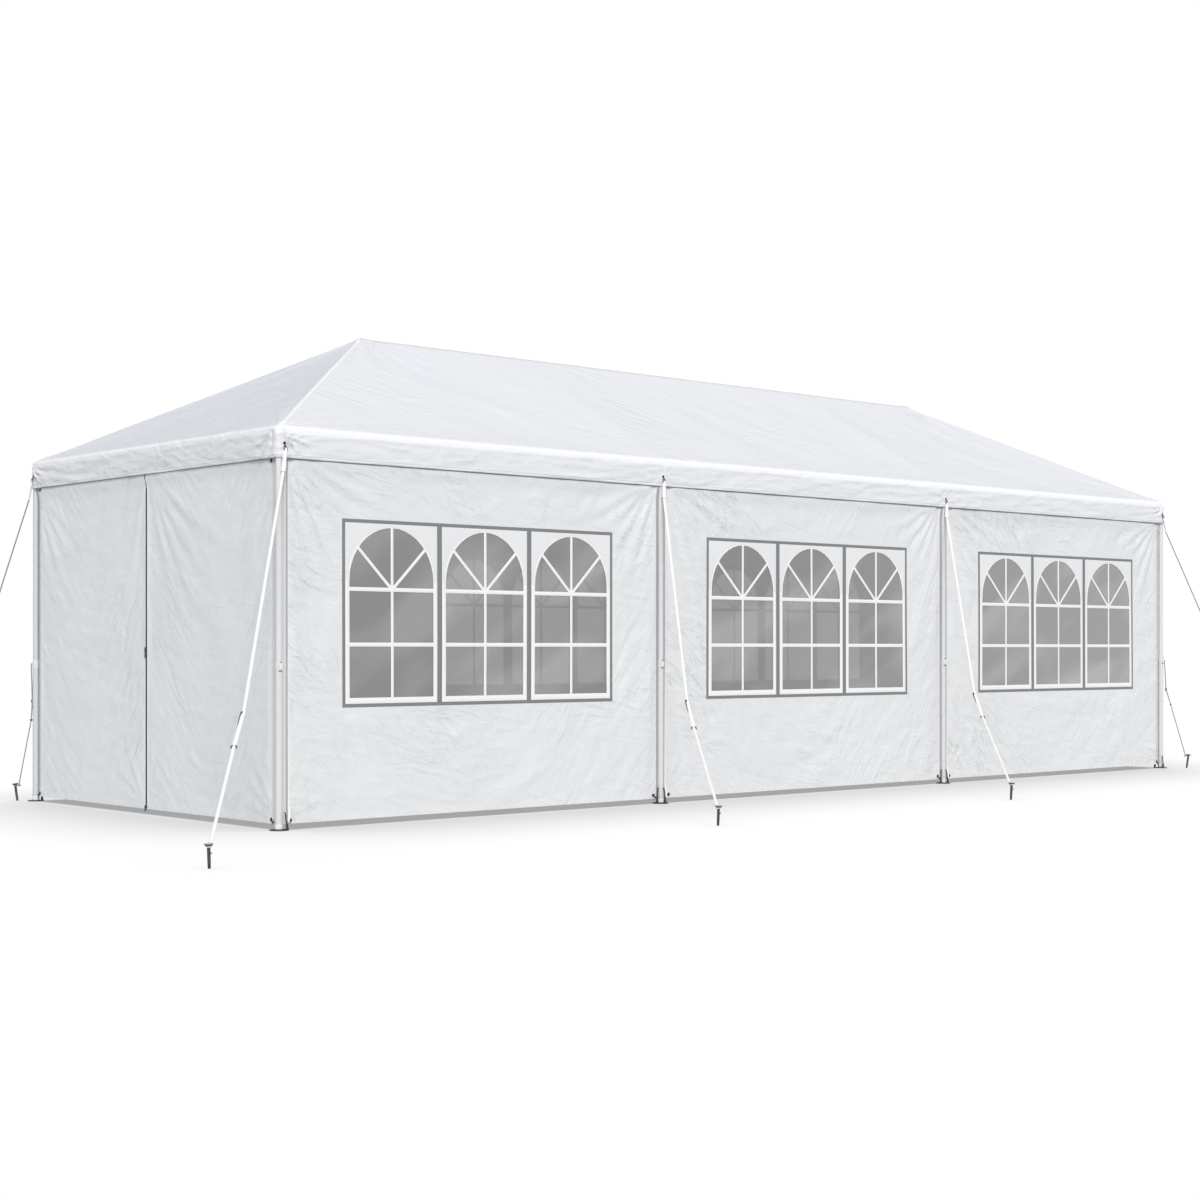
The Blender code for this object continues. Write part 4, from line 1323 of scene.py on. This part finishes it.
def add_strap(leg, foot, along, out, at_corner):
    """The elastic strap from the wall's edge, or from the collar, down to the peg."""
    off, lower_off, lift, top_z = CORNER_STRAP if at_corner else MIDDLE_STRAP
    offsets = [(off, lift, z) for z in np.linspace(top_z, 0.16, 8)]
    offsets += [(off, lift + 0.004, 0.11), (lower_off, lift + 0.012, 0.075)]
    offsets += [(lower_off - 0.018, lift + 0.028, 0.045)]
    radii = np.concatenate([np.linspace(0.0028, 0.0055, 8), [0.0085, 0.0088, 0.0040]])
    leg.add(*tube(placed(foot, (along, out, UP), offsets), radii, 10, 0.35, along), "sleeve")
    if at_corner:
        eyelet, = placed(foot, (along, out, UP), [(off + 0.001, lift + 0.012, GROMMET_LOW)])
        # A dark disc of painted shade for the strap's eyelet hole
        leg.add(*lathe([(-0.006, 0.0088), (0.006, 0.0084)], eyelet, out, 16), "black")


def make_leg(name):
    """A telescoping leg with its collar clip, foot socket, plate, pegs and strap."""
    foot = np.array(FEET[name])
    side = name.split("_")[0]
    out = np.array((0.0, SIDES[side], 0.0))
    at_corner = is_corner(name)
    # The back legs take a darker copy of the tube's coat as painted shade
    upper, lower = ("tube", "lower_tube") if side == "front" else ("back_tube", "back_tube")
    leg = Piece(f"leg_{name}_tube")
    leg.add(*tube([foot + UP * COLLAR_TOP * 0.98, foot + UP * LEG_TOP], UPPER_R, 28), upper)
    leg.add(*tube([foot + UP * SOCKET_TOP * 0.6, foot + UP * COLLAR_BOTTOM * 1.02], LOWER_R, 28), lower)
    if not at_corner:
        leg.add(*lathe(HEAD_PROFILE, foot), "frame")
    leg.add(*lathe(COLLAR_PROFILE, foot), "tube")
    leg.add(*lathe(SOCKET_PROFILE, foot), "socket")
    leg.add(*lathe(PLATE_PROFILE, foot, sides=40), "plate")
    lever, button, pin = placed(foot, (X_WAY, out, UP), COLLAR_FITTINGS)
    leg.add(*block(lever, (0.013, 0.008, 0.036)), "yellow" if name == "back_1" else "clip")
    leg.add(*lathe(BUTTON_PROFILE, button, out, 12), "brass")
    leg.add(*block(pin, (0.020, 0.005, 0.0045)), "brass")
    x_sign = math.copysign(1.0, foot[0]) if at_corner else -SIDES[side]
    for x_step, y_step in CORNER_PEGS if at_corner else MIDDLE_PEGS:
        step = np.array((x_step * x_sign, y_step * SIDES[side], 0.0))
        add_peg(leg, foot + step, -unit(step))
    if name not in STAYS:
        add_strap(leg, foot, X_WAY * -SIDES[side], out, at_corner)
    return leg.make([f"leg_{name}"], sharp=35.0)


# Lines


def grommet_places():
    """Where each guy line is hooked through the valance, and which way the valance faces there."""
    found = {}
    for name, foot in FEET.items():
        side = math.copysign(1.0, foot.y)
        end = math.copysign(1.0, foot.x)
        inset, z = (GROMMET_INSET, GROMMET_Z) if is_corner(name) else (0.0, MIDDLE_GROMMET_Z)
        place = np.array((foot.x - end * inset, side * (HALF_WIDTH + SKIN_R), z))
        outward = np.array((0.0, side, 0.0))
        if name == "back_1":
            place = np.array((end * (HALF_LENGTH + SKIN_R), foot.y - side * inset, z))
            outward = np.array((end, 0.0, 0.0))
        found[name] = (place, outward)
    return found


GROMMETS = grommet_places()


def add_eyelet_hook(line, place, face_out):
    """An eyelet in the valance, its hole filled with a dark disc of painted shade, and the brass hook that
    straddles the sleeve's top.
    """
    level = np.cross(UP, face_out)
    line.add(*lathe([(0.0, 0.0100), (0.0030, 0.0097)], place, face_out, 20), "black")
    line.add(*torus(place + face_out * 0.0015, face_out, 0.0115, 0.0020, 20), "sleeve")
    top = place + face_out * 0.008 - UP * 0.012
    for turned in (-1.0, 1.0):
        arm = placed(top, (level * turned, UP, face_out), HOOK_ARM)
        line.add(*tube(arm, [0.0032, 0.0042, 0.0036], 8), "brass")
    line.add(*torus(top - UP * 0.003, level, 0.0055, 0.0018, 14), "brass")


def add_tensioner(line, upper, lower, lateral):
    """The doubled rope of the tensioner, with its lever strip beside it and the dark clasp below."""
    heading = unit(lower - upper)
    directions = (lateral, heading)
    line.add(*tube(np.linspace(upper, lower, 6), np.linspace(0.0100, 0.0128, 6), 12, 0.5, lateral), "sleeve")
    line.add(*tube(placed(upper, directions, LEVER), [0.0022, 0.0046, 0.0042, 0.0018], 8), "brass")
    pivot = upper + heading * 0.010 - lateral * 0.008
    line.add(*block(pivot, (0.012, 0.010, 0.022), (lateral, np.cross(lateral, heading), heading)), "brass")
    line.add(*tube(placed(lower, directions, CLASP), [0.0032, 0.0040, 0.0046, 0.0040, 0.0032], 8), "dark")


def add_hitch(line, knot, stake, outward, radius, rope):
    """The knot beside a stake and the loop round its shaft."""
    shaft = stake + UP * ROPE_END_Z + outward * ROPE_END_Z * math.sin(STAKE_LEAN)
    heading = unit(shaft - knot)
    swell = [radius, radius * 1.2, radius * 1.1, radius * 0.7]
    line.add(*tube([knot + heading * step for step in (-0.012, -0.004, 0.004, 0.010)], swell, 12), rope)
    line.add(*torus(shaft, outward * 0.14 + UP, 0.0084 + radius * 0.35, radius * 0.40, 16), rope)
    line.add(*tube([knot + heading * 0.006, shaft - heading * 0.010], radius * 0.7, 8), rope)


def knot_at(stake, outward):
    """Where a line ends in a knot, just short of its stake."""
    return stake + UP * ROPE_END_Z + outward * (ROPE_END_Z * math.sin(STAKE_LEAN) - KNOT_REACH)


def make_guy_line(name):
    """A guy line: eyelet, hook, sleeve, rope, tensioner and the loop round its stake."""
    stake_x, stake_y, share = GUYS[name]
    start, face_out = GROMMETS[name]
    stake = np.array((FEET[name].x + stake_x, FEET[name].y + stake_y, 0.0))
    ground = start * (1.0, 1.0, 0.0)
    reach = np.linalg.norm(stake - ground)
    outward = (stake - ground) / reach
    lateral = np.cross(UP, outward)
    # The lines at the stayed legs take the grey rope, in part painted shade
    rope = "grey_rope" if name in STAYS else "rope"
    sleeve_end, upper, lower = placed(ground, (outward, UP), (
        (SLEEVE_REACH, SLEEVE_END_Z), (reach * share, TENSIONER_TOP_Z),
        (reach * (share + TENSIONER_SHARE), TENSIONER_BOTTOM_Z),
    ))
    knot = knot_at(stake, outward)
    line = Piece(f"guy_line_{name}_made")
    add_eyelet_hook(line, start, face_out)
    sleeve = np.linspace(start + face_out * 0.012 - UP * 0.028, sleeve_end, 6)
    line.add(*tube(sleeve, np.linspace(0.0095, 0.0135, 6), 14, 0.45, lateral), "sleeve")
    heading = unit(upper - sleeve_end)
    for turned in (-1.0, 1.0):
        prong = [sleeve_end - heading * 0.008, sleeve_end + heading * 0.010 + lateral * turned * 0.008]
        line.add(*tube(prong, [0.0040, 0.0026], 8), "brass")
    line.add(*tube(np.linspace(sleeve_end, upper, 12), ROPE_R, 12, 0.42, lateral), rope)
    add_tensioner(line, upper, lower, lateral)
    line.add(*tube(np.linspace(lower, knot, 8), ROPE_R, 12, 0.42, lateral), rope)
    add_hitch(line, knot, stake, outward, ROPE_R, rope)
    make_stake(f"stake_{name}", stake, outward)
    return line.make([f"guy_line_{name}"], sharp=50.0)


def make_stay(name):
    """A short stay from a leg's collar to a stake beside its foot."""
    step = np.array((*STAYS[name], 0.0))
    foot = np.array(FEET[name])
    outward = unit(step)
    stake, knot = foot + step, knot_at(foot + step, outward)
    lateral = np.cross(UP, outward)
    upper_off, knee_off = STAY_BENDS[name]
    collar, upper, knee = placed(foot, (outward, UP), (
        (COLLAR_R, (COLLAR_BOTTOM + COLLAR_TOP) / 2.0), (upper_off, STAY_BEND_Z),
        (knee_off, TENSIONER_BOTTOM_Z),
    ))
    stay = Piece(f"leg_stay_{name}_made")
    stay.add(*torus(collar + outward * 0.006, lateral, 0.0065, 0.0018, 14), "brass")
    path = [collar + outward * 0.010 - UP * 0.004, upper, knee]
    stay.add(*tube(path, [STAY_R, STAY_R * 1.2, STAY_R], 10, 0.6, lateral), "grey_rope")
    stay.add(*block(upper, (0.018, 0.009, 0.024)), "brass")
    stay.add(*block(knee, (0.016, 0.008, 0.012)), "dark")
    stay.add(*tube(np.linspace(knee, knot, 6), STAY_R, 10, 0.6, lateral), "grey_rope")
    add_hitch(stay, knot, stake, outward, STAY_R, "grey_rope")
    make_stake(f"stay_stake_{name}", stake, outward)
    return stay.make([f"leg_stay_{name}"], sharp=50.0)


def make_stake(node, stake, outward):
    """A round-headed stake that leans away from the tent, with a small spur on its shaft."""
    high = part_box(node)[1].z
    axis = UP + outward * math.sin(STAKE_LEAN)
    length = high * np.linalg.norm(axis)
    made = Piece(f"{node}_made")
    made.add(*lathe([(0.0015, 0.0074), (0.03, 0.0082), (length - 0.0105, 0.0084)], stake, axis, 20), "stake")
    for profile, material in ((STAKE_HEAD, "dark"), (STAKE_CROWN, "socket")):
        made.add(*lathe([(length - drop, radius) for drop, radius in profile], stake, axis, 28), material)
    spur = placed(stake + axis * (high - 0.048), (np.cross(UP, outward), UP), STAKE_SPUR)
    made.add(*tube(spur, 0.0026, 8), "dark")
    return made.make([node], sharp=35.0)


# Zips


def make_zip(end):
    """The zip between two door flaps: hems, tape, teeth, sliders and their pulls."""
    node = f"{end}_zip"
    high_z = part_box(node)[1].z
    sign = ENDS[end]
    plane = sign * HALF_LENGTH
    outward = np.array((sign, 0.0, 0.0))

    def surface(y, z, rise):
        return np.stack([plane + sign * rise, y, z], -1)

    made = Piece(f"{node}_made")
    for hem_y in (-0.0155, 0.0155):
        hem = bar((hem_y, WALL_FOOT), (hem_y, high_z), 0.009, 0.0012)
        add_patches(made, [hem], "hem", surface, 0.0006, 0.001)
    add_patches(made, [bar((0.0, WALL_FOOT), (0.0, high_z), 0.022, 0.0)], "zip", surface, 0.0002, 0.0012)
    count = int((high_z - WALL_FOOT) / ZIP_PITCH)
    teeth = [(plane + sign * 0.0018, 0.0, WALL_FOOT + ZIP_PITCH * step) for step in range(count)]
    made.add(*tube(teeth, [0.0030 if step % 2 else 0.0022 for step in range(count)], 6), "teeth")
    for bottom, top in ZIP_SLIDERS:
        reach = top - bottom
        middle = np.array((plane + sign * 0.0055, 0.0, (bottom + top) / 2.0))
        body, plate, ring, pull = placed(middle, (UP * reach, outward), SLIDER_PARTS)
        made.add(*block(body, (0.007, 0.024, reach * 0.50)), "stake")
        made.add(*block(plate, (0.004, 0.008, reach * 0.40)), "plate")
        made.add(*torus(ring, outward, 0.0075, 0.0018, 16), "plate")
        made.add(*block(pull, (0.003, 0.018, reach * 0.36)), "stake")
    return made.make([node], sharp=40.0)


# Light and stage


def camera_level(tree, unseen, seen):
    """A value that differs between what the camera sees and what lights the object."""
    light = add_node(tree, "LightPath", {})
    return mapped(tree, light.outputs["Is Camera Ray"], 0.0, 1.0, unseen, seen)


def make_stage():
    """A white floor, level with the feet, that runs out of sight. To the camera it glows, with painted shadow
    beside the walls and under the tent.
    """
    mesh = bpy.data.meshes.new("floor")
    corners = [(x * FLOOR_REACH, y * FLOOR_REACH, 0) for x, y in ((-1, -1), (1, -1), (1, 1), (-1, 1))]
    mesh.from_pydata(corners, [], [(0, 1, 2, 3)])
    floor = bpy.data.objects.new("floor", mesh)
    bpy.context.scene.collection.objects.link(floor)
    white, tree, principled = shader("floor_white", (FLOOR_BOUNCE,) * 3, 0.9, specular=0.0)
    feed(tree, principled, {
        "Base Color": camera_level(tree, FLOOR_BOUNCE, 0.0),
        "Emission Strength": camera_level(tree, 0.0, 1.0), "Emission Color": floor_painted_shadow(tree),
    })
    mesh.materials.append(white)


def floor_painted_shadow(tree):
    """Painted shadow on the floor: white in the open, a little grey beside the walls and darker under the tent.
    """
    nearness = add_node(tree, "AmbientOcclusion", {"Distance": FLOOR_SHADE_REACH}, samples=8)
    tone = ramp(tree, nearness.outputs["AO"], ((0.5, (FLOOR_SHADE,) * 3), (1.0, (1.0,) * 3)))
    parts = coordinates(tree)
    inside = []
    for axis, half in (("X", HALF_LENGTH), ("Y", HALF_WIDTH)):
        size = add_node(tree, "Math", {0: parts[axis]}, operation="ABSOLUTE").outputs[0]
        inside.append(mapped(tree, size, half + SHADE_EDGE, half - SHADE_EDGE))
    inputs = {"Factor": product(tree, *inside), "A": tone, "B": (UNDER_TENT_SHADE, UNDER_TENT_SHADE, UNDER_TENT_SHADE, 1.0)}
    return add_node(tree, "Mix", inputs, data_type="RGBA").outputs["Result"]


def make_sun(name, energy, heading, angle):
    """A soft distant light that shines along a heading."""
    data = bpy.data.lights.new(name, "SUN")
    data.energy = energy
    data.angle = math.radians(angle)
    lamp = bpy.data.objects.new(name, data)
    lamp.rotation_euler = Vector(heading).to_track_quat("-Z", "Y").to_euler()
    bpy.context.scene.collection.objects.link(lamp)


def make_light():
    """A bright even sky and a broad soft key from the front and left."""
    world = bpy.data.worlds.new("studio")
    bpy.context.scene.world = world
    world.use_nodes = True
    tree = world.node_tree
    sky = tree.nodes["Background"]
    sky.inputs["Color"].default_value = (1.0, 1.0, 1.0, 1.0)
    tree.links.new(camera_level(tree, SKY_LIGHT, SKY_SEEN), sky.inputs["Strength"])
    make_sun("key", KEY_LIGHT, KEY_HEADING, 18.0)
    view = bpy.context.scene.view_settings
    view.view_transform = "Standard"
    view.look = "None"


def make_camera():
    """The camera of the photograph."""
    data = bpy.data.cameras.new("camera")
    data.sensor_width = SENSOR
    data.lens = FOCAL_PIXELS * SENSOR / PHOTO_SIDE
    data.shift_y = (HORIZON_PIXEL - PHOTO_SIDE / 2.0) / PHOTO_SIDE
    data.clip_end = 300.0
    camera = bpy.data.objects.new("camera", data)
    camera.location = CAMERA_PLACE
    camera.rotation_euler = (math.radians(90.0), 0.0, CAMERA_TURN)
    bpy.context.scene.collection.objects.link(camera)
    bpy.context.scene.camera = camera


def finish_frame():
    """Gives the steel tubes of the roof and eaves their paint."""
    for name, node in frame["nodes"].items():
        if name.startswith(("eave_rail", "end_rail", "hip_rafters", "rafter_pair", "ridge_pole")):
            for slot in node.material_slots:
                slot.material = MATERIALS["frame"]


# Making everything


def declare_walls():
    """Makes the walls, windows, zips and door flaps."""
    for side in SIDES:
        for number in range(1, BAYS + 1):
            wall, trim = make_side_wall(side, number)
            film_sheet, borders = make_window(side, number)
    for end in ENDS:
        make_zip(end)
        for side in SIDES:
            flap, trim = make_flap(end, side)


MATERIALS = make_materials()
make_camera()
make_light()
make_stage()
finish_frame()
canopy = make_canopy()
declare_walls()
for leg_name in FEET:
    make_leg(leg_name)
    make_guy_line(leg_name)
for leg_name in STAYS:
    make_stay(leg_name)
